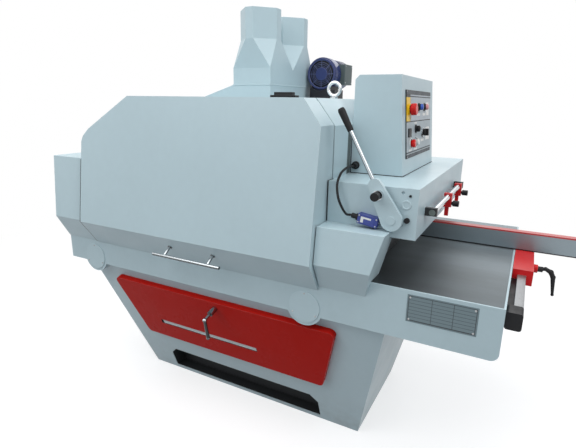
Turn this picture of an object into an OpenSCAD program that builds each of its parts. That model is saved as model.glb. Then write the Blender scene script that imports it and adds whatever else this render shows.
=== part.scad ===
// Multi rip saw: a floor machine that rips boards with a stack of saw blades.
// Frame: millimetres, +X is the infeed end, -Y the hood side, +Z up.
// Origin: centre of the base's footprint, on the floor.

/* [Bed and base] */
// Height of the table surface above the floor
table_z = 769; // [740:1:820]
// Outfeed end of the bed
bed_x0 = -795; // [-830:1:-795]
// Infeed end of the bed
bed_x1 = 1022; // [1000:1:1100]
// Half the width of the bed
bed_y = 498; // [495:1:520]
// Height of the bed beam
bed_h = 165; // [160:1:175]
// Half the length of the base at the floor
base_foot_x = 549; // [520:1:580]
// Half the length of the base under the bed
base_top_x = 688; // [670:1:700]
// Half the width of the base at the floor
base_foot_y = 251; // [240:1:260]
// Half the width of the base under the bed
base_top_y = 474; // [470:1:474]
// Thickness of the base's sheet
base_wall = 6; // [5:0.5:7]
// Depth of the access door pan
door_depth = 26; // [20:1:30]

/* [Hood and housing] */
// Height of the roof above the table
roof_rise = 557; // [540:1:580]
// Height of the hood's fold above the table
fold_rise = 43; // [35:1:55]
// How far the hood's fold stands out of the bed
fold_out = 78; // [70:1:85]
// How far the hood's top edge stands out of the bed
hood_top_out = 8; // [4:1:12]
// Infeed side of the housing
house_x1 = 459; // [455:1:470]
// Outfeed side of the housing
house_x0 = -615; // [-620:1:-605]
// Depth line where the hood meets the fixed housing
seam_y = -415; // [-420:1:-410]
// Half the depth of the housing and heads
house_y = 454; // [445:1:460]
// Thickness of the hood's sheet
hood_wall = 3; // [2:0.5:4]
// Thickness of the housing's sheet
house_wall = 5; // [4:0.5:6]

/* [Heads and covers] */
// Infeed face of the infeed head
head_x1 = 751; // [740:1:765]
// Height of the head's underside above the table
head_low = 143; // [140:1:150]
// Height of the head's top above the table
head_high = 300; // [295:1:310]
// Outfeed end of the outfeed cover
outcover_x0 = -824; // [-840:1:-815]
// Thickness of the cover sheets
cover_wall = 3; // [2:0.5:4]

/* [Control cabinet] */
// Half the width of the control cabinet
cabinet_y = 250; // [240:1:260]
// Height of the control cabinet
cabinet_h = 336; // [310:1:350]
// Depth of the cabinet at its foot
cabinet_d = 187; // [180:1:195]
// How far the panel face leans back over its height
cabinet_lean = 28; // [20:1:34]

/* [Dust outlets] */
// Half the length of the dust box along the feed
dust_x = 87; // [80:1:95]
// Half the width of the dust box across the feed
dust_y = 190; // [180:1:200]
// Height of the outlet rims above the roof
dust_rise = 336; // [300:1:360]
// Half the width of an outlet across its narrow flats
outlet_c = 85; // [78:0.5:86]
// Half the width of an outlet across its wide flats
outlet_h = 72; // [68:0.5:76]
// Distance of an outlet's centre from the middle plane
outlet_y = 120; // [110:1:124]

/* [Lift lever] */
// Pivot of the lift lever along the feed
lever_x = 680; // [672:1:690]
// Height of the lever pivot above the table
lever_rise = 203; // [198:1:208]
// Lean of the lever to the outfeed side at rest, degrees
lever_lean = 29; // [24:1:36]
// Length of the lever from pivot to grip end
lever_len = 370; // [340:1:380]

/* [Fence] */
// Near face of the fence
fence_y = 105; // [60:1:140]
// Inner end of the fence
fence_x0 = 650; // [645:1:670]
// Outer end of the fence
fence_x1 = 1700; // [1300:1:1800]
// Height of the fence
fence_h = 72; // [60:1:80]

/* [Saw and feed] */
// Place of the arbor along the feed
arbor_x = -100; // [-110:1:-90]
// Radius of the saw blades
blade_r = 175; // [165:1:178]
// Number of blades on the arbor
blade_count = 5; // [3:1:5]
// Space between blades
blade_pitch = 75; // [50:1:75]
// Radius of the lower feed rollers
roller_r = 54; // [50:0.5:55]
// Place of the infeed rollers along the feed
roller_in_x = 330; // [320:1:335]
// Place of the outfeed rollers along the feed
roller_out_x = -530; // [-535:1:-520]
// Radius of the belt pulleys
pulley_r = 80; // [70:1:84]

/* [Hidden] */
$fn = 64;

paint = [0.72, 0.78, 0.79];
red = [0.62, 0.1, 0.08];
black = [0.05, 0.05, 0.06];
chrome = [0.82, 0.83, 0.85];
steel = [0.45, 0.46, 0.48];
alu = [0.66, 0.68, 0.7];
navy = [0.1, 0.13, 0.35];

// Clearances
run_gap = 0.05;
fit_gap = 0.02;
skin_gap = 0.5;
free_gap = 1;
hood_side_gap = 2.5;

// Bed
bed_z = table_z - bed_h;
bed_wall = 22;
deck_t = 25;
boss_r = 69;
boss_z = bed_z + 28;
boss_in_x = 407;
boss_out_x = -636;
plate_t = 14;
plate_x0 = 555;
rim = 6;
name_x0 = 753;
name_x1 = 956;
name_z0 = table_z - 101;
name_z1 = table_z - 12;
cover_r = 58;
screw_ring = 50;
roller_z = table_z - roller_r + 1;
roller_half = 430;
journal_end = 9;
journal_r = 20;
arbor_z = table_z + blade_r - 10;
belt_y0 = 222;
belt_y1 = 292;

// Base
base_h = bed_z;
front_lean = atan((base_top_y - base_foot_y) / base_h);
slope_len = base_h / cos(front_lean);
door_hgt = 316;
door_v1 = round(slope_len) - 56;
door_v0 = door_v1 - door_hgt;
door_x = -18;
door_half_low = 451;
door_half_high = 535;
door_lap = 12;
hinge_v = door_v0 - 6;
hinge_w = door_depth / 2;
hinge_x = 317;
latch_v = door_v1 - 28;
pull_x0 = -355;
pull_v = door_v0 + 89;
pull_len = 510;
pull_hgt = 22;
pull_deep = 5;
kick_x = -14;
kick_half = 397;
kick_z0 = 20;
kick_z1 = 138;
kick_back = -200;
kick_wall = 4;
foot_t = 8;
base_open_x = base_top_x - 88;
base_open_y = base_top_y - 69;
anchor_x = base_foot_x - 69;
anchor_y = base_foot_y - 61;
anchor_r = 9;
knuckle_r = 5;
knuckle_len = 24;
door_pin_r = 2.5;
latch_r = 6;

// Hood and housing
roof_z = table_z + roof_rise;
fold_z = table_z + fold_rise;
hood_low_z = bed_z + 100;
hood_gap_y = bed_y + free_gap;
band_lean = atan((fold_out - free_gap) / (fold_z - hood_low_z));
hinge_r = 4;
hinge_pin_r = 2;
hood_axis_z = roof_z - hinge_r;
hood_hinge_x0 = -345;
hood_knuckle = 60;
hood_knuckles = 12;
gap_slot_y0 = -290;
gap_slot_y1 = -257;
handle_x0 = -200;
handle_len = 312;
handle_post = 54;
handle_v = 81;
handle_out = 45;
handle_r = 6;
lock_x0 = 209;
lock_len = 97;

// Heads
head_z0 = table_z + head_low;
head_z1 = table_z + head_high;
head_wall = 8;
cover_top_z = table_z + 166;
cover_low_z = bed_z + 90;
cover_fold = 23;
cover_deep = 81;
cover_reach = 223;
cover_reach_low = 156;
feed_y0 = -411;
feed_y1 = 300;
bar_x = head_x1 + 25;
bar_z = table_z + 214;
knob_drop = 24;
leg_len = 140;
bar_r = 10;
bar_y0 = -360;
bar_y1 = 245;

// Cabinet
cabinet_x0 = house_x1 + 1;
cabinet_x1 = cabinet_x0 + cabinet_d;
cabinet_z1 = head_z1 + cabinet_h;
panel_lean = atan(cabinet_lean / cabinet_h);
panel_v0 = 57;
panel_v1 = 290;
panel_y0 = -207;
panel_y1 = 193;
panel_t = 3;
cabinet_wall = 2.5;
gland_x = cabinet_x0 + 19;
gland_z = head_z1 + 29;

// Dust outlets
dust_seam_z = roof_z + 51;
dust_box_z = dust_seam_z + 63;
dust_kink_z = dust_box_z + 109;
dust_top_z = roof_z + dust_rise;
dust_wall = 2.5;
dust_slope = 160;

// Lift drive
motor_x = 165;
motor_y = 119;
motor_z = roof_z + 107;
motor_r = 60;
cowl_r = 70;
cowl_len = 60;
screw_x = 215;
gear_half = 48;
gear_boss = 22;
gear_hgt = 40;
gear_y0 = motor_y - 12;
motor_len = 200;
term_x0 = motor_x + 40;
term_x1 = motor_x + 88;
term_z0 = motor_z - 43;
term_z1 = motor_z + 43;
screw_y = 182;
gear_y1 = screw_y + gear_boss;
term_y0 = motor_y + cowl_len + free_gap;
term_y1 = term_y0 + 86;
screw_r = 12;
eye_places = [[334, -131], [-300, 400]];
eye_r = 24;
eye_bar = 6;

// Lever
lever_z = table_z + lever_rise;
head_face = -house_y;
arm_y1 = head_face - 15;
arm_t = 15;
arm_y0 = arm_y1 - arm_t;
arm_mid_y = arm_y0 + arm_t / 2;
arm_r0 = 33;
arm_r1 = 20;
arm_len = 117;
shaft_r = 15;
rod_r = 6;
grip_z0 = lever_len - 75;
index_at = 86;
finger_reach = 205;
finger_lean = 24;

// Limit switch
switch_x = lever_x - 74;
switch_z = lever_z - 11;
switch_lean = 9;
switch_len = 64;
switch_hgt = 31;
switch_d = 28;

// Fence
rail_x0 = bed_x1;
rail_x1 = rail_x0 + 18;
scale_x1 = rail_x1 + 26;
rail_z0 = table_z - 69;
rail_z1 = table_z - 34;
scale_z1 = table_z - 18;
rail_half = 412;
cap_len = 58;
block_x0 = bed_x1 + free_gap;
block_x1 = block_x0 + 64;
block_z0 = table_z - 52;
fence_z0 = table_z + 2;
block_y0 = fence_y - 236;
block_y1 = fence_y + 40;
fence_t = 35;
clamp_y = fence_y - 111;
clamp_z = table_z - 26;
clamp_boss = 15;
clamp_boss_r = 15;
clamp_r = 5;

// Saw and pressing unit
frame_y0 = -390;
frame_y1 = 140;
frame_t = 14;
frame_z0 = table_z + 81;
frame_z1 = table_z + 301;
press_z = table_z + 111;
press_r = 55;
axle_r = 15;
main_x = arbor_x;
main_z = 330;
main_r = 125;
main_y0 = -130;
main_y1 = 170;
flange_r = 90;
motor_shaft_r = 21;
arbor_r = 30;
bearing_r = 90;
plinth_y0 = 150;
plinth_y1 = belt_y0 - 7;
plinth_t = 20;
plinth_x0 = arbor_x - 370;
plinth_x1 = arbor_x + 110;
post_x = plinth_x0 + 40;
post_top = frame_z1 + 120;
frame_end = 62;
bar_half = 22;
bar_deep = 40;
finger_half = 370;
finger_pitch = 37;

// Shape helpers

// Box given by its limits
module box(x0, x1, y0, y1, z0, z1) {
  translate([x0, y0, z0]) cube([x1 - x0, y1 - y0, z1 - z0]);
}

// Outline in X and Z drawn out along Y
module along_y(y0, y1) {
  translate([0, y1, 0]) rotate([90, 0, 0]) linear_extrude(y1 - y0) children();
}

// Outline in Y and Z drawn out along X
module along_x(x0, x1) {
  translate([x0, 0, 0]) rotate([90, 0, 90]) linear_extrude(x1 - x0) children();
}

// Round bar along Y
module rod_y(x, z, y0, y1, r) {
  translate([x, y1, z]) rotate([90, 0, 0]) cylinder(h = y1 - y0, r = r);
}

// Round bar along X
module rod_x(y, z, x0, x1, r) {
  translate([x0, y, z]) rotate([0, 90, 0]) cylinder(h = x1 - x0, r = r);
}

// Round bar along Z
module rod_z(x, y, z0, z1, r) {
  translate([x, y, z0]) cylinder(h = z1 - z0, r = r);
}

// Unit normal on the left of an edge
function edge_normal(a, b) = [a[1] - b[1], b[0] - a[0]] / norm(b - a);

// Outline moved inwards by t; its points run counter-clockwise
function inset(pts, t) = [
  for (i = [0:len(pts) - 1])
    let (
      n = len(pts),
      n0 = edge_normal(pts[(i + n - 1) % n], pts[i]),
      n1 = edge_normal(pts[i], pts[(i + 1) % n])
    )
    pts[i] + t * (n0 + n1) / (1 + n0 * n1)
];

// Flat arm between two round ends, standing on its larger end
module arm_outline(r0, r1, length) {
  a = asin((r0 - r1) / length);
  circle(r = r0);
  translate([0, length]) circle(r = r1);
  polygon([
    [r0 * cos(a), r0 * sin(a)],
    [r1 * cos(a), length + r1 * sin(a)],
    [-r1 * cos(a), length + r1 * sin(a)],
    [-r0 * cos(a), r0 * sin(a)]
  ]);
}

// Straight round bar between two points
module strut(a, b, r0, r1) {
  d = b - a;
  turn = atan2(d[1], d[0]);
  tilt = acos(d[2] / norm(d));
  translate(a) rotate([0, tilt, turn]) cylinder(h = norm(d), r1 = r0, r2 = r1);
}

// Frame on the base's sloping front: x along X, y up the slope, z outwards
module on_front() {
  translate([0, -base_foot_y, 0]) rotate([90 + front_lean, 0, 0]) children();
}

// Frame on the hood's lower band: x along X, y up the band, z outwards
module on_band() {
  translate([0, -hood_gap_y, hood_low_z]) rotate([90 + band_lean, 0, 0]) children();
}

// Frame on the cabinet's panel face: x along Y, y up the face, z outwards
module on_panel() {
  translate([cabinet_x1, 0, head_z1]) rotate([0, -panel_lean, 0]) rotate([90, 0, 90]) children();
}

// Frame of the lever: z along the lever from its pivot
module on_lever() {
  translate([lever_x, 0, lever_z]) rotate([0, -lever_lean, 0]) children();
}

// Frame of the limit switch: x along its body towards the lever
module on_switch() {
  translate([switch_x, head_face - switch_d / 2, switch_z]) rotate([0, switch_lean, 0]) children();
}

// Base cabinet

function base_x(z) = base_foot_x + (base_top_x - base_foot_x) * z / base_h;
function base_y(z) = base_foot_y + (base_top_y - base_foot_y) * z / base_h;

// Tapered body with its sides moved in by t
module base_solid(t, z0, z1) {
  intersection() {
    along_x(-base_top_x, base_top_x)
      polygon([[-base_y(z0) + t, z0], [base_y(z0) - t, z0], [base_y(z1) - t, z1], [-base_y(z1) + t, z1]]);
    along_y(-base_top_y, base_top_y)
      polygon([[-base_x(z0) + t, z0], [base_x(z0) - t, z0], [base_x(z1) - t, z1], [-base_x(z1) + t, z1]]);
  }
}

// Outline of the access door, made smaller by t
module door_outline(t, r) {
  k = (door_half_high - door_half_low) / (door_v1 - door_v0);
  pts = [
    [door_x - door_half_low + t + k * t, door_v0 + t], [door_x + door_half_low - t - k * t, door_v0 + t],
    [door_x + door_half_high - t - k * t, door_v1 - t], [door_x - door_half_high + t + k * t, door_v1 - t]
  ];
  c = inset(pts, r);
  for (p = c) translate(p) circle(r = r);
  for (i = [0:3])
    let (q = c[i], s = c[(i + 1) % 4], m = edge_normal(q, s) * r)
      polygon([q, q - m, s - m, s]);
  polygon(c);
}

// Toe recess outline in X and Z, grown by t
module kick_outline(t) {
  c = 34;
  translate([kick_x, 0]) polygon([
    [-kick_half - t, kick_z0 - t], [kick_half + t, kick_z0 - t],
    [kick_half + t, kick_z1 - c], [kick_half - c, kick_z1 + t],
    [-kick_half + c, kick_z1 + t], [-kick_half - t, kick_z1 - c]
  ]);
}

module base_cabinet() {
  color(paint) {
    difference() {
      union() {
        difference() {
          base_solid(0, 0, base_h);
          base_solid(base_wall, foot_t, base_h - 10);
          box(-base_open_x, base_open_x, -base_open_y, base_open_y, base_h - 20, base_h + 1);
        }
        intersection() {
          base_solid(0, 0, base_h);
          along_y(-base_top_y, kick_back + kick_wall) kick_outline(kick_wall);
        }
        for (s = [-1, 1]) translate([door_x + s * hinge_x, 0, 0]) on_front() door_knuckle_fixed();
      }
      along_y(-base_top_y, kick_back) kick_outline(0);
      on_front() translate([0, 0, -30]) linear_extrude(60) door_outline(door_lap, 18);
      for (x = [-anchor_x, anchor_x], y = [-anchor_y, anchor_y]) rod_z(x, y, -1, foot_t + 1, anchor_r);
    }
  }
}

// Fixed hinge knuckle of the access door with its pin
module door_knuckle_fixed() {
  translate([-knuckle_len - 2, hinge_v, hinge_w]) rotate([0, 90, 0])
    cylinder(h = knuckle_len, r = knuckle_r);
  translate([-knuckle_len - 2, hinge_v - 4, -1]) cube([knuckle_len, 8, hinge_w + 1]);
  translate([-3, hinge_v, hinge_w]) rotate([0, 90, 0]) cylinder(h = knuckle_len + 3, r = door_pin_r);
}

module access_door() {
  color(red) {
    for (s = [-1, 1])
      translate([door_x + s * hinge_x, 0, 0]) on_front() difference() {
        union() {
          translate([-1.5, hinge_v, hinge_w]) rotate([0, 90, 0])
            cylinder(h = knuckle_len + 1, r = knuckle_r);
          translate([-1.5, hinge_v, hinge_w - 4]) cube([knuckle_len + 1, door_v0 - hinge_v + 1, 8]);
        }
        translate([-3, hinge_v, hinge_w]) rotate([0, 90, 0])
          cylinder(h = knuckle_len + 4, r = door_pin_r + run_gap);
      }
    on_front() difference() {
      union() {
        difference() {
          translate([0, 0, skin_gap]) linear_extrude(door_depth - skin_gap) door_outline(0, 22);
          translate([0, 0, -1]) linear_extrude(door_depth - 2) door_outline(4, 20);
        }
        translate([pull_x0 - 3, pull_v - 3, door_depth - pull_deep - 2])
          cube([pull_len + 6, pull_hgt + 6, pull_deep + 1]);
      }
      translate([pull_x0, pull_v, door_depth - pull_deep]) cube([pull_len, pull_hgt, pull_deep + 1]);
      translate([0, latch_v, 0]) cylinder(h = door_depth + 1, r = latch_r + run_gap);
    }
  }
}

module door_latch() {
  neck = door_depth + 36;
  elbow = door_depth + 70;
  color(chrome) on_front() translate([0, latch_v, 0]) {
    translate([0, 0, 2]) cylinder(h = elbow - 2, r = latch_r);
    translate([0, 0, door_depth + skin_gap]) cylinder(h = neck - door_depth - skin_gap, r = 12);
    translate([0, 0, elbow]) sphere(r = 9);
    translate([0, 0, elbow]) rotate([90, 0, -8]) cylinder(h = 104, r1 = 6, r2 = 7.5);
    rotate([0, 0, -8]) translate([0, -104, elbow]) sphere(r = 8.5);
    translate([0, 0, 4]) cylinder(h = 5, r = 10);
  }
}

// Bed and table

module bed() {
  r = 25;
  color(paint) {
    difference() {
      union() {
        along_y(-bed_y, bed_y) {
          polygon([[bed_x0, bed_z], [bed_x1 - r, bed_z], [bed_x1 - r, bed_z + r],
                   [bed_x1, bed_z + r], [bed_x1, table_z], [bed_x0, table_z]]);
          translate([bed_x1 - r, bed_z + r]) circle(r = r);
        }
        for (x = [boss_in_x, boss_out_x], y = [-bed_y, bed_y - bed_wall])
          rod_y(x, boss_z, y, y + bed_wall, boss_r);
      }
      difference() {
        box(bed_x0 + bed_wall, bed_x1 - bed_wall, bed_wall - bed_y, bed_y - bed_wall,
          bed_z - 1, table_z - deck_t);
        for (s = [-1, 1])
          box(bed_x0, bed_x1, s * bed_y - 68, s * bed_y + 68, bed_z - 2, bed_z + 12);
      }
      box(plate_x0, bed_x1 - rim, rim - bed_y, bed_y - rim, table_z - plate_t, table_z + 1);
      for (x = [roller_in_x, roller_out_x]) {
        box(x - roller_r - 8, x + roller_r + 8, -roller_half - 2, roller_half + 2,
          table_z - 50, table_z + 1);
        rod_y(x, roller_z, journal_end - 2 - bed_y, bed_y - journal_end + 2, journal_r + run_gap);
      }
      for (i = [0:blade_count - 1])
        box(arbor_x - 64, arbor_x + 64, -i * blade_pitch - 5, -i * blade_pitch + 5,
          table_z - 12, table_z + 1);
      box(arbor_x - 95, arbor_x + 95, belt_y0 - 6, belt_y1 + 6, table_z - 40, table_z + 1);
    }
  }
}

module bearing_covers() {
  color(paint)
    for (x = [boss_in_x, boss_out_x], y = [-bed_y - 3, bed_y])
      rod_y(x, boss_z, y, y + 3, cover_r);
}

module small_screws() {
  color(steel) {
    for (x = [boss_in_x, boss_out_x], y = [-bed_y - 5, bed_y + 3], a = [90, 210, 330])
      rod_y(x + screw_ring * cos(a), boss_z + screw_ring * sin(a), y, y + 2, 3);
    for (x = [name_x0 + 9, name_x1 - 9], z = [name_z0 + 9, name_z1 - 9])
      rod_y(x, z, -bed_y - 3, -bed_y - 1, 3);
  }
}

module infeed_table() {
  color(steel)
    box(plate_x0 + 0.2, bed_x1 - rim - 0.2, rim - bed_y + 0.2, bed_y - rim - 0.2,
      table_z - plate_t, table_z);
}

module nameplate() {
  color(alu) box(name_x0, name_x1, -bed_y - 1, -bed_y, name_z0, name_z1);
}

// Fence

module fence_rail() {
  color(black) {
    box(rail_x0, rail_x1, -rail_half, rail_half, rail_z0, rail_z1);
    for (y = [-rail_half - cap_len, rail_half])
      along_y(y, y + cap_len) cap_outline();
  }
}

// End cap outline in X and Z, with rounded corners
module cap_outline() {
  r = 8;
  x0 = rail_x0;
  x1 = scale_x1 + 1;
  z0 = rail_z0 - 1;
  z1 = scale_z1 + 1;
  translate([x0 + r, z0]) square([x1 - x0 - 2 * r, z1 - z0]);
  translate([x0, z0 + r]) square([x1 - x0, z1 - z0 - 2 * r]);
  for (x = [x0 + r, x1 - r], z = [z0 + r, z1 - r]) translate([x, z]) circle(r = r);
}

module fence_scale() {
  color(alu) box(rail_x1, scale_x1, -rail_half, rail_half, rail_z0 + 2, scale_z1);
}

module fence_block() {
  color(red) {
    difference() {
      union() {
        box(block_x0, block_x1, block_y0, block_y1, block_z0, fence_z0);
        rod_x(clamp_y, clamp_z, block_x1 - 1, block_x1 + clamp_boss, clamp_boss_r);
      }
      box(rail_x1 - skin_gap, scale_x1 + skin_gap, block_y0 - 1, block_y1 + 1,
        block_z0 - 1, scale_z1 + skin_gap);
      box(block_x0 - 1, rail_x1, block_y0 - 1, block_y1 + 1, block_z0 - 1, rail_z1 + skin_gap);
      rod_x(clamp_y, clamp_z, scale_x1 - 1, block_x1 + clamp_boss + 1, clamp_r);
    }
  }
}

module fence_profile() {
  x1 = fence_x1;
  color(alu) difference() {
    box(fence_x0, x1, fence_y, fence_y + fence_t, fence_z0, fence_z0 + fence_h);
    for (z = [fence_z0 + 4, fence_z0 + fence_h / 2 + 2])
      box(fence_x0 - 1, x1 + 1, fence_y + 4, fence_y + fence_t - 4, z, z + fence_h / 2 - 6);
    box(fence_x0 - 1, x1 + 1, fence_y + fence_t - 3, fence_y + fence_t + 1,
        fence_z0 + fence_h / 2 - 5, fence_z0 + fence_h / 2 + 5);
  }
}

module fence_clamp_lever() {
  x0 = block_x1 + clamp_boss + skin_gap;
  bends = [[24, 4, 7.5], [42, -5, 9.5], [51, -22, 9], [58, -88, 5.5]];
  color(black) {
    rod_x(clamp_y, clamp_z, block_x1 - 10, x0 + 1, clamp_r - run_gap);
    rod_x(clamp_y, clamp_z, x0, x0 + 16, 10);
    strut([x0 + 8, clamp_y, clamp_z], [x0 + bends[0][0], clamp_y, clamp_z + bends[0][1]], 7, 6.5);
    for (b = bends) translate([x0 + b[0], clamp_y, clamp_z + b[1]]) sphere(r = b[2]);
    for (i = [0:2])
      let (a = bends[i], b = bends[i + 1])
        strut([x0 + a[0], clamp_y, clamp_z + a[1]], [x0 + b[0], clamp_y, clamp_z + b[1]],
          a[2] - 1, b[2] - 1);
  }
}

// Housing, hood and covers

// Front view of the housing in X and Z, from height z0 up
function house_outline(z0) = [
  [house_x0, z0], [house_x1, z0], [house_x1, roof_z - 86], [house_x1 - 68, roof_z],
  [house_x0 + 256, roof_z], [house_x0 + 41, roof_z - 131], [house_x0 + 11, roof_z - 160],
  [house_x0, roof_z - 186]
];

module main_housing() {
  low = table_z;
  color(paint) difference() {
    along_y(seam_y + 4.5, house_y) polygon(house_outline(low));
    along_y(seam_y - 10, house_y - house_wall) polygon(inset(house_outline(low - 60), house_wall));
    for (x = [house_x0 - 1, house_x1 - house_wall - 1])
      box(x, x + house_wall + 2, feed_y0 + 11, feed_y1, low - 1, head_z0 - 7);
    box(house_x1 - house_wall - 1, house_x1 + 1, gap_slot_y0, gap_slot_y1, head_z1, roof_z - 94);
    box(house_wall - dust_x + 2, dust_x - 2 - house_wall, 10 - dust_y, dust_y - 10,
      roof_z - 20, roof_z + 1);
    rod_z(screw_x, screw_y, roof_z - 20, roof_z + 1, screw_r + 4);
  }
}

// Side profile of the hood in Y and Z
function hood_profile() = [
  [-hood_gap_y, table_z + skin_gap], [seam_y - skin_gap, table_z + skin_gap], [seam_y - skin_gap, roof_z],
  [-bed_y - hood_top_out, roof_z], [-bed_y - fold_out, fold_z], [-hood_gap_y, hood_low_z]
];

// Inside of the hood, open at the back and bottom
function hood_cavity() = let (p = inset(hood_profile(), hood_wall)) [
  [seam_y + 20, hood_low_z - 40], [seam_y + 20, p[3][1]], p[3], p[4],
  p[4] + (p[5] - p[4]) * 1.3
];

module hood_door() {
  x0 = house_x0 + hood_side_gap;
  x1 = house_x1 - hood_side_gap;
  color(paint) {
    difference() {
      intersection() {
        along_x(x0, x1) polygon(hood_profile());
        along_y(-bed_y - fold_out - 10, seam_y) polygon(inset(house_outline(hood_low_z - 60), skin_gap));
      }
      intersection() {
        along_x(x0 + hood_wall, x1 - hood_wall) polygon(hood_cavity());
        along_y(-bed_y - fold_out - 10, seam_y + 30)
          polygon(inset(house_outline(hood_low_z - 100), skin_gap + hood_wall));
      }
      box(x0 - 1, x1 + 1, seam_y - hinge_r - 1, seam_y + 1, roof_z - 10, roof_z + 1);
    }
    for (i = [0:2:hood_knuckles - 1]) hood_knuckle(i, -1);
  }
}

// One hinge knuckle with the strap that joins it to its leaf; side is -1 for the hood
module hood_knuckle(i, side) {
  x0 = hood_hinge_x0 + i * hood_knuckle + 0.3;
  x1 = x0 + hood_knuckle - 0.6;
  difference() {
    union() {
      rod_x(seam_y, hood_axis_z, x0, x1, hinge_r);
      if (side < 0)
        box(x0, x1, seam_y - 8, seam_y, roof_z - hood_wall, roof_z);
      if (side > 0)
        box(x0, x1, seam_y, seam_y + 14, hood_axis_z - hinge_r, roof_z - house_wall);
    }
    rod_x(seam_y, hood_axis_z, x0 - 1, x1 + 1, hinge_pin_r + run_gap);
  }
}

module hood_hinge() {
  x1 = hood_hinge_x0 + hood_knuckles * hood_knuckle;
  color(steel) {
    for (i = [1:2:hood_knuckles - 1]) hood_knuckle(i, 1);
    box(hood_hinge_x0, x1, seam_y + 8, seam_y + 40, hood_axis_z - hinge_r, roof_z - house_wall);
    rod_x(seam_y, hood_axis_z, hood_hinge_x0 + 1, x1 - 1, hinge_pin_r);
    for (i = [1:2:hood_knuckles - 1])
      let (x0 = hood_hinge_x0 + i * hood_knuckle + 20)
        difference() {
          rod_x(seam_y, hood_axis_z, x0, x0 + 20, hinge_pin_r + 1);
          rod_x(seam_y, hood_axis_z, x0 - 1, x0 + 21, hinge_pin_r - 0.5);
        }
  }
}

module hood_handle() {
  color(chrome) on_band() {
    for (x = [handle_x0 + handle_post, handle_x0 + handle_len - handle_post]) {
      translate([x, handle_v, 0]) cylinder(h = handle_out, r = handle_r - 1);
      translate([x, handle_v, 0]) cylinder(h = 3, r = handle_r + 3);
    }
    translate([handle_x0, handle_v, handle_out]) rotate([0, 90, 0]) cylinder(h = handle_len, r = handle_r);
  }
}

module hood_interlock() {
  color(black) {
    box(lock_x0, lock_x0 + lock_len, seam_y + 15, seam_y + 45, roof_z, roof_z + 8);
    box(lock_x0 + 14, lock_x0 + lock_len - 14, seam_y + 18, seam_y + 42, roof_z + 7, roof_z + 18);
  }
}

// Profile of the infeed cover in Y and Z
function infeed_cover_profile() = [
  [-bed_y, table_z], [feed_y0, table_z], [feed_y0, head_z0], [head_face, head_z0],
  [head_face, cover_top_z], [head_face - cover_deep, cover_top_z],
  [head_face - cover_deep - 17, fold_z], [-bed_y, cover_low_z + cover_fold]
];

module infeed_cover() {
  p = infeed_cover_profile();
  slant = [
    [house_x1 + skin_gap, cover_low_z], [house_x1 + cover_reach_low, cover_low_z],
    [house_x1 + cover_reach, cover_top_z + 10], [house_x1 + skin_gap, cover_top_z + 10]
  ];
  color(paint) difference() {
    intersection() {
      along_x(house_x1 + skin_gap, house_x1 + cover_reach + 5) polygon(p);
      along_y(-bed_y - 80, feed_y0) polygon(slant);
    }
    intersection() {
      along_x(house_x1 - 5, house_x1 + cover_reach + 5) polygon(inset(p, cover_wall));
      along_y(-bed_y - 80, feed_y0) translate([-cover_wall, 0]) polygon(slant);
    }
  }
}

// Profile of the outfeed cover in Y and Z
function outfeed_cover_profile() = [
  [-bed_y, table_z], [house_y, table_z], [house_y, head_z1 + 2],
  [head_face - 62, head_z1 + 2], [head_face - 98, fold_z - 5], [-bed_y, hood_low_z + 1]
];

module outfeed_cover() {
  p = outfeed_cover_profile();
  x1 = house_x0;
  slant = [[outcover_x0 + 26, hood_low_z], [x1, hood_low_z], [x1, head_z1 + 2], [outcover_x0, head_z1 + 2]];
  color(paint) difference() {
    intersection() {
      along_x(outcover_x0 - 5, x1) polygon(p);
      along_y(-bed_y - 80, house_y) polygon(slant);
    }
    intersection() {
      along_x(outcover_x0 - 5, x1 + 5) polygon(inset(p, cover_wall));
      along_y(-bed_y - 80, house_y) translate([cover_wall + 2, 0]) polygon(slant);
    }
    box(outcover_x0 - 5, x1 + 1, feed_y0, house_y - cover_wall, table_z - 1, table_z + 10);
    box(outcover_x0 - 5, outcover_x0 + 60, feed_y0 + 11, feed_y1, table_z - 1, head_z0 - 7);
  }
}

// Infeed head with its parts

module infeed_head() {
  color(paint) difference() {
    union() {
      difference() {
        box(house_x1, head_x1, head_face, house_y, head_z0, head_z1);
        box(house_x1 - 5, head_x1 - head_wall, head_face + head_wall, house_y - head_wall,
            head_z0 - 10, head_z1 - head_wall);
      }
      box(house_x1 + 11, house_x1 + leg_len, house_y - 24, house_y, table_z, head_z0 + 1);
      for (y = [bar_y0 + 8, bar_y1 - 24])
        box(head_x1 - 1, bar_x + 13, y, y + 16, bar_z - 13, bar_z + 13);
      rod_y(lever_x + 36, lever_z + 47, head_face - 3, head_face + 1, 14);
    }
    rod_y(lever_x, lever_z, head_face - 1, house_y + 1, shaft_r + run_gap);
    bar_bore();
    rod_y(lever_x + 36, lever_z + 47, head_face - 4, head_face - 1.5, 10);
    for (a = [0, 45])
      translate([lever_x, 0, lever_z]) rotate([0, a - lever_lean, 0])
        rod_y(0, index_at, head_face - 1, head_face + 5, 5.2);
    rod_y(lever_x + 42, lever_z, head_face - 1, head_face + 6, 5);
    rod_y(lever_x + 46, lever_z + 75, head_face - 1, head_face + 6, 2.5);
  }
}

// Bore of the pointer bar through both brackets
module bar_bore() {
  rod_y(bar_x, bar_z, bar_y0 - 1, bar_y1 + 1, bar_r + fit_gap);
}

module head_plugs() {
  color(black) {
    rod_y(lever_x + 42, lever_z, head_face - 9, head_face, 8.5);
    rod_y(lever_x + 42, lever_z, head_face - 1, head_face + 5, 5 - fit_gap);
    rod_y(lever_x + 46, lever_z + 75, head_face - 3, head_face, 4);
    rod_y(lever_x + 46, lever_z + 75, head_face - 1, head_face + 5, 2.5 - fit_gap);
  }
}

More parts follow.
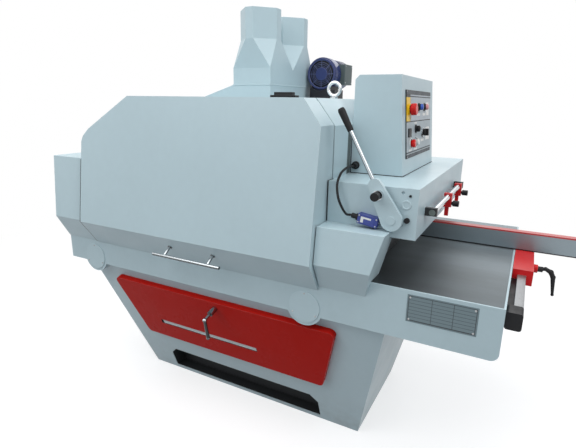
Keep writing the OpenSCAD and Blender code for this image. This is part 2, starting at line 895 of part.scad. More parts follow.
module lever_arm() {
  color(paint) difference() {
    union() {
      on_lever() along_y(arm_y0, arm_y1) arm_outline(arm_r0, arm_r1, arm_len);
      rod_y(lever_x, lever_z, arm_y1 - 1, head_face - skin_gap, 25);
      rod_y(lever_x, lever_z, arm_y0 - 3, arm_y0 + 1, 13);
      on_lever() rod_y(0, index_at, arm_y0 - 16, arm_y0 + 1, 15);
    }
    rod_y(lever_x, lever_z, arm_y0 + 2, head_face, shaft_r + fit_gap);
    on_lever() rod_y(0, index_at, arm_y0 - 17, arm_y1 + 1, 5 + run_gap);
    on_lever() rod_z(0, arm_mid_y, arm_len + 8, arm_len + 40, rod_r + fit_gap);
  }
}

module lever_rod() {
  color(chrome) on_lever() rod_z(0, arm_mid_y, arm_len + 8, grip_z0 + 25, rod_r);
}

module lever_grip() {
  color(black) on_lever() difference() {
    union() {
      translate([0, arm_mid_y, grip_z0]) cylinder(h = lever_len - grip_z0 - 8, r1 = 9.5, r2 = 11.5);
      translate([0, arm_mid_y, lever_len - 8]) cylinder(h = 8, r1 = 11.5, r2 = 9);
    }
    rod_z(0, arm_mid_y, grip_z0 - 1, grip_z0 + 25, rod_r + fit_gap);
  }
}

module index_plunger() {
  y0 = arm_y0 - 16 - skin_gap;
  color(black) on_lever() {
    rod_y(0, index_at, y0 - 1, head_face - 0.6, 5);
    rod_y(0, index_at, y0 - 8, y0, 8);
    rod_y(0, index_at, y0 - 30, y0 - 7, 13);
  }
}

module kickback_fingers() {
  color(steel) {
    rod_y(lever_x, lever_z, arm_y0 + 2, house_y + 8, shaft_r);
    for (y = [-finger_half:finger_pitch:finger_half])
      translate([lever_x, 0, lever_z]) rotate([0, 180 + finger_lean, 0])
        along_y(y - 6, y + 6) arm_outline(24, 9, finger_reach);
  }
}

module limit_switch() {
  h = switch_hgt / 2;
  color(navy) on_switch() difference() {
    union() {
      box(-switch_len / 2, switch_len / 2, -switch_d / 2, switch_d / 2, -h, h);
      box(switch_len / 2 - 1, switch_len / 2 + 2, -9, 9, -9, 9);
    }
    rod_x(0, 0, 10, switch_len / 2 + 3, 4 + run_gap);
  }
}

module switch_plunger() {
  color(chrome) on_switch() {
    rod_x(0, 0, 16, switch_len / 2 + 4, 4);
    translate([switch_len / 2 + 4 - 4 + 1, 0, 0]) sphere(r = 4);
  }
}

module cable_glands() {
  color(black) {
    rod_y(gland_x, gland_z, -cabinet_y - 8, -cabinet_y, 14);
    difference() {
      rod_y(gland_x, gland_z, -cabinet_y - 26, -cabinet_y - 7, 10);
      rod_y(gland_x, gland_z, -cabinet_y - 27, -cabinet_y - 12, cable_r + 0.2);
    }
    on_switch() difference() {
      union() {
        rod_x(0, 0, -switch_len / 2 - 8, -switch_len / 2, 11);
        rod_x(0, 0, -switch_len / 2 - 24, -switch_len / 2 - 7, 8);
      }
      rod_x(0, 0, -switch_len / 2 - 25, -switch_len / 2 - 10, cable_r + 0.2);
    }
  }
}

// Limit switch cable, from the cabinet's gland to the switch's gland
cable_r = 4;
cable_sides = 10;
cable_end = [switch_x - (switch_len / 2 + 12) * cos(switch_lean), head_face - switch_d / 2,
             switch_z + (switch_len / 2 + 12) * sin(switch_lean)];
cable_points = [
  [gland_x, -cabinet_y - 14, gland_z], [gland_x, -cabinet_y - 29, gland_z],
  [gland_x, -cabinet_y - 48, gland_z + 1], [485, -340, head_z1 + 33], [492, -391, head_z1 + 33],
  [497, -442, head_z1 + 24], [500, -476, head_z1 - 6], [510, -482, head_z1 - 52],
  cable_end - 34 * [cos(switch_lean), 0, -sin(switch_lean)],
  cable_end - 15 * [cos(switch_lean), 0, -sin(switch_lean)],
  cable_end
];

// Point on a smooth curve through the route, between points i and i + 1
function route_at(p, i, t) =
  let (
    n = len(p) - 1,
    a = p[max(i - 1, 0)], b = p[i], c = p[min(i + 1, n)], d = p[min(i + 2, n)]
  )
  0.5 * (2 * b + (c - a) * t + (2 * a - 5 * b + 4 * c - d) * t * t + (3 * b - a - 3 * c + d) * t * t * t);

function route(p, steps) = concat(
  [for (i = [0:len(p) - 2], k = [0:steps - 1]) route_at(p, i, k / steps)],
  [p[len(p) - 1]]
);

// Round tube along a list of points
module tube_along(pts, r, sides) {
  n = len(pts);
  dir = [for (i = [0:n - 1]) let (d = pts[min(i + 1, n - 1)] - pts[max(i - 1, 0)]) d / norm(d)];
  side = [for (d = dir) let (u = cross(d, [0.3, 0.2, 0.93])) u / norm(u)];
  ring = [
    for (i = [0:n - 1], k = [0:sides - 1])
      pts[i] + r * (cos(360 * k / sides) * side[i] + sin(360 * k / sides) * cross(dir[i], side[i]))
  ];
  polyhedron(
    points = ring,
    faces = concat(
      [[for (k = [0:sides - 1]) sides - 1 - k]],
      [for (i = [0:n - 2], k = [0:sides - 1]) let (m = (k + 1) % sides)
        [i * sides + k, i * sides + m, (i + 1) * sides + m]],
      [for (i = [0:n - 2], k = [0:sides - 1]) let (m = (k + 1) % sides)
        [i * sides + k, (i + 1) * sides + m, (i + 1) * sides + k]],
      [[for (k = [0:sides - 1]) (n - 1) * sides + k]]
    )
  );
}

module switch_cable() {
  color(black) tube_along(route(cable_points, 6), cable_r, cable_sides);
}

// Marking pointers

module pointer_bar() {
  color(chrome) rod_y(bar_x, bar_z, bar_y0, bar_y1, bar_r);
}

// Pointer that slides on the bar, at place y
module pointer(y) {
  color(red) difference() {
    union() {
      box(bar_x - 14, bar_x + 14, y - 9, y + 9, bar_z - 38, bar_z + 13);
      box(bar_x - 8, bar_x + 6, y - 5, y + 5, bar_z - 72, bar_z - 37);
    }
    rod_y(bar_x, bar_z, y - 10, y + 10, bar_r + run_gap);
    rod_x(y, bar_z - knob_drop, bar_x - 15, bar_x + 15, 4);
  }
}

// Clamp knob of the pointer at place y
module pointer_knob(y) {
  color(black) {
    rod_x(y, bar_z - knob_drop, bar_x - 6, bar_x + 20, 4 - run_gap);
    rod_x(y, bar_z - knob_drop, bar_x + 14 + skin_gap, bar_x + 19, 6);
    rod_x(y, bar_z - knob_drop, bar_x + 18, bar_x + 40, 11);
  }
}

pointer_y = [-60, 185];
module pointer_front() { pointer(pointer_y[0]); }
module pointer_rear() { pointer(pointer_y[1]); }
module pointer_knob_front() { pointer_knob(pointer_y[0]); }
module pointer_knob_rear() { pointer_knob(pointer_y[1]); }

// Dust outlets and lift drive on the roof

module dust_base() {
  p = [[-dust_x - dust_slope, roof_z], [dust_x, roof_z], [dust_x, dust_seam_z], [-dust_x, dust_seam_z]];
  q = inset(p, dust_wall);
  color(paint) difference() {
    along_y(-dust_y, dust_y) polygon(p);
    along_y(dust_wall - dust_y, dust_y - dust_wall)
      polygon([q[0] - [4, dust_wall + 1], q[1] - [0, dust_wall + 1], q[2] + [0, dust_wall + 1],
               q[3] + [0, dust_wall + 1], q[3]]);
  }
}

// Square-to-octagon duct and its tube, made smaller by t
module outlet(side, t) {
  hx = dust_x - t;
  hy = dust_y / 2 - t;
  c = outlet_c - t;
  e = outlet_h * sqrt(2) - outlet_c - t * (sqrt(2) - 1);
  off = side * (outlet_y - dust_y / 2);
  foot = [[hx, -hy], [hx, hy], [-hx, hy], [-hx, -hy]];
  ring = [for (q = [[c, -e], [c, e], [e, c], [-e, c], [-c, e], [-c, -e], [-e, -c], [e, -c]]) q + [0, off]];
  rim_z = dust_top_z + (t > 0 ? 1 : 0);
  translate([0, side * dust_y / 2, 0]) polyhedron(
    points = concat(
      [for (q = foot) [q[0], q[1], dust_box_z]],
      [for (q = ring) [q[0], q[1], dust_kink_z]],
      [for (q = ring) [q[0], q[1], rim_z]]
    ),
    faces = concat(
      [[0, 1, 2, 3]],
      [for (i = [0:3]) [i, 4 + 2 * i, 5 + 2 * i, (i + 1) % 4]],
      [for (i = [0:3]) [(i + 1) % 4, 5 + 2 * i, 4 + (2 * i + 2) % 8]],
      [for (k = [0:7]) [4 + k, 12 + k, 12 + (k + 1) % 8, 4 + (k + 1) % 8]],
      [[for (k = [0:7]) 19 - k]]
    )
  );
}

module dust_outlets() {
  w = dust_wall;
  split_z = dust_box_z - 20;
  color(paint) difference() {
    union() {
      box(-dust_x, dust_x, -dust_y, dust_y, dust_seam_z, dust_box_z);
      for (s = [-1, 1]) outlet(s, 0);
    }
    box(w - dust_x, dust_x - w, w - dust_y, dust_y - w, dust_seam_z - 1, split_z);
    for (y = [w - dust_y, w]) box(w - dust_x, dust_x - w, y, y + dust_y - 2 * w, split_z - 1, dust_box_z);
    for (s = [-1, 1]) outlet(s, w);
  }
}

module lift_gearbox() {
  color(black) difference() {
    union() {
      box(motor_x - gear_half, screw_x + gear_boss, gear_y0, gear_y1, roof_z, roof_z + gear_hgt);
      box(motor_x - gear_half, motor_x + gear_half, gear_y0, gear_y1, roof_z, motor_z - motor_r / 2);
    }
    rod_y(motor_x, motor_z, gear_y0 - 1, gear_y1 + 1, cowl_r);
    rod_z(screw_x, screw_y, roof_z - 1, roof_z + 30, screw_r + run_gap);
  }
}

module lift_motor() {
  color(navy) difference() {
    union() {
      rod_y(motor_x, motor_z, motor_y + cowl_len - 1, motor_y + motor_len, motor_r);
      rod_y(motor_x, motor_z, motor_y + 8, motor_y + cowl_len, cowl_r);
      rod_y(motor_x, motor_z, motor_y, motor_y + 9, cowl_r - 5);
    }
    difference() {
      rod_y(motor_x, motor_z, motor_y - 1, motor_y + 3, cowl_r - 13);
      rod_y(motor_x, motor_z, motor_y - 2, motor_y + 4, 28);
    }
  }
}

module motor_terminal_box() {
  color([0.35, 0.4, 0.4]) difference() {
    box(term_x0, term_x1, term_y0, term_y1, term_z0, term_z1);
    rod_y(motor_x, motor_z, motor_y, motor_y + motor_len, motor_r);
  }
}

// Lifting eye bolts on the roof
module lifting_eyes() {
  color(chrome)
    for (p = eye_places)
      translate([p[0], p[1], roof_z]) {
        cylinder(h = 6, r = 15);
        translate([0, 0, 5]) cylinder(h = 6, r = 9);
        translate([0, 0, eye_r + 12]) rotate([90, 0, 0]) rotate_extrude()
          translate([eye_r, 0]) circle(r = eye_bar);
      }
}

// Control cabinet

function cabinet_outline() = [
  [cabinet_x0, head_z1], [cabinet_x1, head_z1], [cabinet_x1 - cabinet_lean, cabinet_z1],
  [cabinet_x0 + 15, cabinet_z1], [cabinet_x0, cabinet_z1 - 15]
];

module cabinet_cavity() {
  p = inset(cabinet_outline(), cabinet_wall);
  polygon([p[0] - [0, 4], p[1] - [0, 4], p[1], p[2], p[3], p[4]]);
}

module control_cabinet() {
  color(paint) difference() {
    along_y(-cabinet_y, cabinet_y) polygon(cabinet_outline());
    along_y(cabinet_wall - cabinet_y, cabinet_y - cabinet_wall) cabinet_cavity();
    for (b = panel_buttons) on_panel() translate([b[0], b[1], -10]) cylinder(h = 20, r = button_r + 2);
  }
}

button_r = 11;
e_stop_at = [-166, 224];
stop_at = [-150, 107];
start_at = [-72, 107];
selector_at = [40, 137];
panel_buttons = [e_stop_at, stop_at, start_at, selector_at];
lamp_places = [[-24, 232], [68, 232], [-72, 155]];

module control_panel() {
  color(steel) on_panel() difference() {
    union() {
      translate([panel_y0, panel_v0, 0]) cube([panel_y1 - panel_y0, panel_v1 - panel_v0, panel_t]);
      for (b = panel_buttons) translate([b[0], b[1], panel_t - 1]) cylinder(h = 5, r = button_r + 4);
      for (b = lamp_places) translate([b[0], b[1], panel_t - 1]) {
        cylinder(h = 5, r = button_r + 4);
        cylinder(h = 14, r = button_r);
      }
      translate([-185, 130, panel_t - 1]) cube([36, 30, 6]);
    }
    for (b = panel_buttons) translate([b[0], b[1], -1]) cylinder(h = 20, r = button_r + 0.2);
  }
}

// Push button: a plunger in the panel with a head of radius r and height h
module button(at, r, h) {
  on_panel() translate([at[0], at[1], 0]) {
    translate([0, 0, -14]) cylinder(h = 26, r = button_r);
    translate([0, 0, 12]) cylinder(h = h - 3, r = r);
    translate([0, 0, 12 + h - 3.01]) cylinder(h = 3.01, r1 = r, r2 = r - 3);
  }
}

module e_stop_button() { color(red) button(e_stop_at, 20, 18); }
module stop_button() { color(red) button(stop_at, 14, 10); }
module start_button() { color("white") button(start_at, 12, 6); }

module mode_selector() {
  color(black) {
    button(selector_at, 13, 6);
    on_panel() translate([selector_at[0] - 4, selector_at[1] - 13, 12]) cube([8, 26, 16]);
  }
}

// Saw arbor, drive and feed

module saw_arbor() {
  color(steel) {
    rod_y(arbor_x, arbor_z, blade_end - 46, belt_y1 + 8, arbor_r);
    rod_y(arbor_x, arbor_z, 6, 20, 48);
    rod_y(arbor_x, arbor_z, belt_y0, belt_y1, pulley_r);
    translate([arbor_x, blade_end - 0.2, arbor_z]) rotate([90, 0, 0]) cylinder(h = 26, r = 46, $fn = 6);
  }
}

blade_end = -(blade_count - 1) * blade_pitch - 6;

// Blade outline: a disc with ripping teeth
module blade_outline() {
  teeth = 24;
  polygon([
    for (i = [0:teeth - 1], k = [0:2])
      let (
        a = 360 * (i + [0, 0.12, 0.9][k]) / teeth,
        r = blade_r - [0, 14, 4][k]
      )
      r * [cos(a), sin(a)]
  ]);
}

module saw_blades() {
  color(chrome) difference() {
    union() {
      for (i = [0:blade_count - 1])
        translate([arbor_x, 0, arbor_z])
          along_y(-i * blade_pitch - 1.6, -i * blade_pitch + 1.6) blade_outline();
      rod_y(arbor_x, arbor_z, blade_end, 6, 42);
    }
    rod_y(arbor_x, arbor_z, blade_end - 1, 7, arbor_r + fit_gap);
  }
}

module arbor_housing() {
  color(paint) difference() {
    union() {
      box(plinth_x0, plinth_x1, plinth_y0, plinth_y1, table_z, table_z + plinth_t);
      box(arbor_x - bearing_r, arbor_x + bearing_r, plinth_y0, plinth_y1 - 3,
        table_z + plinth_t - 1, arbor_z);
      rod_y(arbor_x, arbor_z, plinth_y0, plinth_y1 - 3, bearing_r);
      rod_z(post_x, screw_y, table_z + plinth_t - 1, post_top, axle_r);
    }
    rod_y(arbor_x, arbor_z, plinth_y0 - 1, plinth_y1 - 2, arbor_r + run_gap);
  }
}

module main_motor() {
  color(navy) difference() {
    union() {
      rod_y(main_x, main_z, main_y0, main_y1, main_r);
      rod_y(main_x, main_z, main_y1 - 1, main_y1 + 16, flange_r);
      for (y = [main_y0 + 40, main_y1 - 70])
        box(main_x - 120, main_x + 120, y, y + 30, foot_t, main_z - 60);
      box(main_x - 60, main_x + 60, -60, 60, main_z + main_r - 20, main_z + main_r + 45);
    }
    rod_y(main_x, main_z, main_y1 - 50, main_y1 + 20, motor_shaft_r + run_gap);
  }
}

module motor_pulley() {
  color(steel) {
    rod_y(main_x, main_z, main_y1 - 48, belt_y1 + 8, motor_shaft_r);
    rod_y(main_x, main_z, belt_y0, belt_y1, pulley_r);
  }
}

// Belt loop outline in X and Z at radius r round both pulleys
module belt_outline(r) {
  translate([arbor_x, main_z]) circle(r = r);
  translate([arbor_x, arbor_z]) circle(r = r);
  translate([arbor_x - r, main_z]) square([2 * r, arbor_z - main_z]);
}

module drive_belts() {
  w = 13;
  pitch = 17;
  color(black)
    for (i = [0:3])
      let (y0 = belt_y0 + 3 + i * pitch)
        along_y(y0, y0 + w) difference() {
          belt_outline(pulley_r + 8);
          belt_outline(pulley_r + 0.4);
        }
}

// Lower feed roller at place x
module feed_roller(x) {
  color(steel) {
    rod_y(x, roller_z, -roller_half, roller_half, roller_r);
    rod_y(x, roller_z, journal_end - bed_y, bed_y - journal_end, journal_r);
  }
}

module feed_roller_infeed() { feed_roller(roller_in_x); }
module feed_roller_outfeed() { feed_roller(roller_out_x); }

// Pressing unit: two side plates joined by cross bars, carried by the lift screw
module pressure_frame() {
  bars = [screw_x, post_x];
  color(paint) difference() {
    union() {
      for (y = [frame_y0, frame_y1 - frame_t])
        difference() {
          box(roller_out_x - frame_end, roller_in_x + frame_end, y, y + frame_t, frame_z0, frame_z1);
          box(arbor_x - (y < 0 ? 200 : 45), arbor_x + (y < 0 ? 200 : 45), y - 1, y + frame_t + 1,
              frame_z0 - 1, frame_z1 - bar_deep);
        }
      for (x = bars) box(x - bar_half, x + bar_half, frame_y0, screw_y + 33, frame_z1 - bar_deep, frame_z1);
    }
    for (x = [roller_in_x, roller_out_x])
      rod_y(x, press_z, frame_y0 - 1, frame_y1 + 1, axle_r + run_gap);
    rod_z(screw_x, screw_y, frame_z1 - 50, frame_z1 + 1, screw_r);
    rod_z(post_x, screw_y, frame_z1 - 50, frame_z1 + 1, axle_r + run_gap);
  }
}

// Upper pressure roller at place x
module pressure_roller(x) {
  color(black) {
    rod_y(x, press_z, frame_y0 + frame_t + 2, frame_y1 - frame_t - 2, press_r);
    rod_y(x, press_z, frame_y0 + 1, frame_y1 - 1, axle_r);
  }
}

module pressure_roller_infeed() { pressure_roller(roller_in_x); }
module pressure_roller_outfeed() { pressure_roller(roller_out_x); }

module lift_screw() {
  color(steel) rod_z(screw_x, screw_y, frame_z1 - 90, roof_z + 29, screw_r - run_gap);
}

base_cabinet();
access_door();
door_latch();
bed();
bearing_covers();
small_screws();
infeed_table();
nameplate();
fence_rail();
fence_scale();
fence_block();
fence_profile();
fence_clamp_lever();
main_housing();
hood_door();
hood_hinge();
hood_handle();
hood_interlock();
infeed_cover();
outfeed_cover();
infeed_head();
dust_base();
dust_outlets();
lift_gearbox();
lift_motor();
motor_terminal_box();
lifting_eyes();
control_cabinet();
control_panel();
e_stop_button();
stop_button();
start_button();
mode_selector();
cable_glands();
lever_arm();
lever_rod();
lever_grip();
index_plunger();
kickback_fingers();
limit_switch();
switch_plunger();
switch_cable();
pointer_bar();
pointer_front();
pointer_rear();
pointer_knob_front();
pointer_knob_rear();
head_plugs();
saw_arbor();
saw_blades();
arbor_housing();
main_motor();
motor_pulley();
drive_belts();
feed_roller_infeed();
feed_roller_outfeed();
pressure_frame();
pressure_roller_infeed();
pressure_roller_outfeed();
lift_screw();
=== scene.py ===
import math

import bmesh
import bpy
from mathutils import Matrix, Vector


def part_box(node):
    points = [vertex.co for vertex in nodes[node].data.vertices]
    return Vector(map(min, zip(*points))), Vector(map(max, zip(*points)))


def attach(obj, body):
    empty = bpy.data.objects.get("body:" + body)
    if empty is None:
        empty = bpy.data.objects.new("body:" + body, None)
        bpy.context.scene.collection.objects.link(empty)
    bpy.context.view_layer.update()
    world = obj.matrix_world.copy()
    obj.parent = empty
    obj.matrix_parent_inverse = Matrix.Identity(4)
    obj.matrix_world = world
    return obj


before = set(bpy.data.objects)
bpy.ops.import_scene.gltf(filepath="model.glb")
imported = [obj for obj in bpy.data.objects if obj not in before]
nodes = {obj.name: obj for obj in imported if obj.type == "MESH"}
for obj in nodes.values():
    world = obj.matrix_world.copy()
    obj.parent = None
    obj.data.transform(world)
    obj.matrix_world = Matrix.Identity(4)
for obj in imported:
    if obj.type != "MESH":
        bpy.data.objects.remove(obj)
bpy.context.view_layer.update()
scene = bpy.context.scene
ROOT = "machine_frame"

# Camera at the photograph's view

CAMERA_PLACE = (1.020, -1.780, 1.311)
CAMERA_ANGLES = (27.98, 15.17, 0.88)
FOCAL_LENGTH, SENSOR_WIDTH = 28.07, 36
yaw, pitch, roll = (math.radians(angle) for angle in CAMERA_ANGLES)
ahead = Vector((-math.sin(yaw) * math.cos(pitch), math.cos(yaw) * math.cos(pitch), -math.sin(pitch)))
right = Vector((math.cos(yaw), math.sin(yaw), 0))
up = right.cross(ahead)
cam_data = bpy.data.cameras.new("camera")
cam_data.sensor_width = SENSOR_WIDTH
cam_data.lens = FOCAL_LENGTH
cam_data.clip_start = 0.05
cam_data.clip_end = 60
camera = bpy.data.objects.new("camera", cam_data)
scene.collection.objects.link(camera)
x_axis = right * math.cos(roll) + up * math.sin(roll)
y_axis = up * math.cos(roll) - right * math.sin(roll)
turn = Matrix((x_axis, y_axis, -ahead)).transposed().to_4x4()
camera.matrix_world = Matrix.Translation(CAMERA_PLACE) @ turn
scene.camera = camera

# Material tools


class Tree:
    """A material's node tree with short helpers."""

    def __init__(self, name):
        self.mat = bpy.data.materials.new(name)
        self.mat.use_nodes = True
        self.nt = self.mat.node_tree
        self.nt.nodes.clear()
        self.out = self.nt.nodes.new("ShaderNodeOutputMaterial")
        self.bsdf = self.nt.nodes.new("ShaderNodeBsdfPrincipled")
        self.nt.links.new(self.bsdf.outputs[0], self.out.inputs["Surface"])
        self.coord = self.nt.nodes.new("ShaderNodeTexCoord").outputs["Object"]

    def new(self, kind, **values):
        node = self.nt.nodes.new(kind)
        for key, value in values.items():
            setattr(node, key, value)
        return node

    def link(self, a, b):
        self.nt.links.new(a, b)

    def put(self, socket, value):
        """Sets a number or colour on a socket, or links another socket to it."""
        if isinstance(value, bpy.types.NodeSocket):
            self.link(value, socket)
        elif hasattr(value, "__len__") and len(value) == 3 and len(socket.default_value) == 4:
            socket.default_value = (*value, 1)
        else:
            socket.default_value = value

    def math(self, op, a, b=0.0, clamp=False):
        node = self.new("ShaderNodeMath", operation=op, use_clamp=clamp)
        self.put(node.inputs[0], a)
        self.put(node.inputs[1], b)
        return node.outputs[0]

    def stretched(self, scale):
        node = self.new("ShaderNodeMapping")
        node.inputs["Scale"].default_value = scale
        self.link(self.coord, node.inputs["Vector"])
        return node.outputs[0]

    def noise(self, scale, detail, rough, stretch=None):
        node = self.new("ShaderNodeTexNoise")
        node.inputs["Scale"].default_value = scale
        node.inputs["Detail"].default_value = detail
        node.inputs["Roughness"].default_value = rough
        self.link(self.stretched(stretch) if stretch else self.coord, node.inputs["Vector"])
        return node.outputs["Fac"]

    def remap(self, value, a, b, c, d):
        """Maps the range a to b onto c to d, held at its ends."""
        node = self.new("ShaderNodeMapRange")
        self.put(node.inputs["Value"], value)
        for key, number in zip(("From Min", "From Max", "To Min", "To Max"), (a, b, c, d)):
            node.inputs[key].default_value = number
        return node.outputs["Result"]

    def mix(self, fac, a, b):
        node = self.new("ShaderNodeMix", data_type="RGBA")
        self.put(node.inputs["Factor"], fac)
        self.put(node.inputs[6], a)
        self.put(node.inputs[7], b)
        return node.outputs[2]

    def xyz(self):
        """The three object coordinates, in metres."""
        if not hasattr(self, "_xyz"):
            node = self.new("ShaderNodeSeparateXYZ")
            self.link(self.coord, node.inputs[0])
            self._xyz = node.outputs
        return self._xyz

    def between(self, value, lo, hi):
        a = self.math("GREATER_THAN", value, lo)
        return self.math("MULTIPLY", a, self.math("LESS_THAN", value, hi))

    def inside(self, lo, hi):
        """1 inside a box given in metres."""
        x, y, z = (self.between(value, a, b) for value, a, b in zip(self.xyz(), lo, hi))
        return self.math("MULTIPLY", self.math("MULTIPLY", x, y), z)

    def bump(self, *layers):
        """Layers of (height, strength, depth in metres), stacked."""
        normal = None
        for height, strength, depth in layers:
            node = self.new("ShaderNodeBump")
            node.inputs["Strength"].default_value = strength
            node.inputs["Distance"].default_value = depth
            self.link(height, node.inputs["Height"])
            if normal is not None:
                self.link(normal, node.inputs["Normal"])
            normal = node.outputs[0]
        self.link(normal, self.bsdf.inputs["Normal"])

    def set(self, **values):
        names = {"base": "Base Color", "rough": "Roughness", "metal": "Metallic",
                 "spec": "Specular IOR Level"}
        for key, value in values.items():
            self.put(self.bsdf.inputs[names[key]], value)


def shade(color, k):
    return tuple(min(1.0, c * k) for c in color)


def varied(t, color, spread=0.06, scale=2.5):
    """Colour that drifts a little over the surface, with finer mottling on top."""
    broad = t.noise(scale, 4, 0.55)
    fine = t.noise(scale * 14, 3, 0.6)
    tone = t.math("ADD", t.math("MULTIPLY", broad, 0.7), t.math("MULTIPLY", fine, 0.3))
    tone = t.remap(tone, 0.3, 0.7, 0.0, 1.0)
    return t.mix(tone, shade(color, 1 - spread), shade(color, 1 + spread))


def grime(t, color, low=0.0, high=0.22, amount=0.35, tint=(0.16, 0.15, 0.14)):
    """Dust and scuffs that gather near the floor."""
    rise = t.remap(t.xyz()[2], low, high, 1.0, 0.0)
    patchy = t.remap(t.noise(11, 5, 0.65), 0.42, 0.75, 0.0, 1.0)
    fac = t.math("MULTIPLY", t.math("MULTIPLY", rise, patchy, True), amount)
    return t.mix(fac, color, tint)


def specks(t, color, tint, scale=160, edge=0.74, amount=0.5):
    """Small chips in the paint."""
    chip = t.remap(t.noise(scale, 2, 0.5), edge, edge + 0.03, 0.0, amount)
    where = t.remap(t.noise(5, 2, 0.5), 0.55, 0.72, 0.0, 1.0)
    return t.mix(t.math("MULTIPLY", chip, where, True), color, tint)


def edge_wear_and_highlight(t, color, tint, radius=0.004, amount=0.4):
    """Paint lighter along the edges, in uneven stretches: partly wear, polished thin, and partly a painted
    highlight on the rounded folds.
    """
    soft = t.new("ShaderNodeBevel", samples=4)
    soft.inputs["Radius"].default_value = radius
    dot = t.new("ShaderNodeVectorMath", operation="DOT_PRODUCT")
    t.link(soft.outputs[0], dot.inputs[0])
    t.link(t.new("ShaderNodeNewGeometry").outputs["True Normal"], dot.inputs[1])
    edge = t.remap(dot.outputs["Value"], 0.99, 0.88, 0.0, 1.0)
    patchy = t.remap(t.noise(18, 4, 0.6), 0.3, 0.65, 0.35, 1.0)
    return t.mix(t.math("MULTIPLY", t.math("MULTIPLY", edge, patchy, True), amount), color, tint)


PAINT = (0.445, 0.567, 0.61)
RED = (0.46, 0.011, 0.007)


def paint(name, color, rough=(0.34, 0.46), peel=0.12, spread=0.035, floor_dirt=True, extra=None, spec=0.4):
    """Sprayed machine paint: orange peel, slow colour drift, chips and dust near the floor."""
    t = Tree(name)
    tone = varied(t, color, spread)
    tone = specks(t, tone, shade(color, 0.55))
    # Lighter edges: partly wear, partly a painted highlight.
    tone = edge_wear_and_highlight(t, tone, tuple(c + 0.3 * (0.9 - c) for c in color))
    if floor_dirt:
        tone = grime(t, tone)
    roughness = t.remap(t.noise(9, 4, 0.6), 0.35, 0.7, *rough)
    if extra:
        tone, roughness = extra(t, tone, roughness)
    t.set(base=tone, rough=roughness, spec=spec)
    t.bump((t.noise(420, 2, 0.4), peel, 0.0006), (t.noise(7, 2, 0.4), 0.05, 0.004))
    return t.mat


def plastic(name, color, rough=(0.38, 0.52), grain=0.25, spread=0.1, scale=900, spec=0.2):
    """Moulded plastic with a fine grain and slightly polished patches."""
    t = Tree(name)
    tone = varied(t, color, spread, 8)
    roughness = t.remap(t.noise(30, 4, 0.6), 0.35, 0.7, *rough)
    t.set(base=tone, rough=roughness, spec=spec)
    t.bump((t.noise(scale, 2, 0.5), grain, 0.0004))
    return t.mat


def metal(name, color, rough=(0.2, 0.34), brush=(1, 1, 1), spread=0.08, depth=0.00025, level=1.0, painted_reflection_tilt=None):
    """Bare metal; brush stretches its fine lines, and the last argument is the tilt over which its lower side
    darkens, a painted reflection of dark surroundings below.
    """
    t = Tree(name)
    lines = t.noise(160, 6, 0.7, brush)
    tone = t.mix(t.remap(lines, 0.3, 0.7, 0, 1), shade(color, 1 - spread), shade(color, 1 + spread))
    tone = t.mix(t.remap(t.noise(6, 4, 0.6), 0.45, 0.75, 0, 0.3), tone, shade(color, 0.7))
    # Painted reflection: the lower side darkens with the surface's tilt.
    if painted_reflection_tilt:
        facing = t.new("ShaderNodeSeparateXYZ")
        t.link(t.new("ShaderNodeNewGeometry").outputs["Normal"], facing.inputs[0])
        tone = t.mix(t.remap(facing.outputs[2], *painted_reflection_tilt, 0, 1), shade(color, 0.08), tone)
    roughness = t.remap(lines, 0.3, 0.7, *rough)
    t.set(base=tone, rough=roughness, metal=level)
    t.bump((lines, 0.25, depth), (t.noise(35, 3, 0.5), 0.04, 0.001))
    return t.mat


# Materials


# The base's front leans out from its foot, and the red door lies in that plane
FRONT_FOOT, FRONT_SLOPE, FRONT_COS, FRONT_SIN = 0.251, 0.3692, 0.9381, 0.3464
TOE_BOX = ((-0.4125, -0.4, 0.018), (0.3845, -0.197, 0.140))
TOE_SKIN = 0.003
DECK_BOX = ((-0.78, -0.47, 0.7684), (0.5545, 0.47, 0.78))
PULL_X, PULL_V, PULL_DEPTH = (-0.3555, 0.1555), (0.3604, 0.3836), 0.0256
PULL_LIT_X, PULL_LIT_DEPTH = (-0.349, 0.149), 0.0224
HEAD_END = 0.7515
SLEEVE_Y, SLEEVE_Z = -0.4846, 1.02


def toe_painted_shade(t, tone, roughness):
    """The toe recess is painted near black inside: painted shade, for the dark of its depth."""
    _, y, z = t.xyz()
    plane = t.math("ADD", t.math("MULTIPLY", z, FRONT_SLOPE), FRONT_FOOT)
    behind = t.math("GREATER_THAN", t.math("ADD", y, plane), TOE_SKIN)
    zone = t.math("MULTIPLY", t.inside(*TOE_BOX), behind)
    rougher = t.math("ADD", roughness, t.math("MULTIPLY", zone, 0.2))
    return t.mix(zone, tone, (0.016, 0.018, 0.02)), rougher


def ground_deck(t, tone, roughness):
    """The working part of the bed's top is ground steel."""
    top = t.inside(*DECK_BOX)
    return t.mix(top, tone, (0.2, 0.21, 0.215)), roughness


def pull_slot_light_and_shade(t, tone, roughness):
    """Inside the slot of the door's pull, the ledge gets the recess's grey, brightened as a painted
    highlight, and the rim and the ends get near black painted shade.
    """
    x, y, z = t.xyz()
    out = t.math("ADD", y, FRONT_FOOT)
    w = t.math("ADD", t.math("MULTIPLY", out, -FRONT_COS), t.math("MULTIPLY", z, -FRONT_SIN))
    v = t.math("ADD", t.math("MULTIPLY", out, -FRONT_SIN), t.math("MULTIPLY", z, FRONT_COS))
    slot = t.math("MULTIPLY", t.between(x, *PULL_X), t.between(v, *PULL_V))
    slot = t.math("MULTIPLY", slot, t.math("LESS_THAN", w, PULL_DEPTH))
    lit = t.math("MULTIPLY", t.between(x, *PULL_LIT_X), t.math("LESS_THAN", w, PULL_LIT_DEPTH))
    inner = t.mix(lit, (0.02, 0.02, 0.022), (0.66, 0.71, 0.72))
    return t.mix(slot, tone, inner), roughness


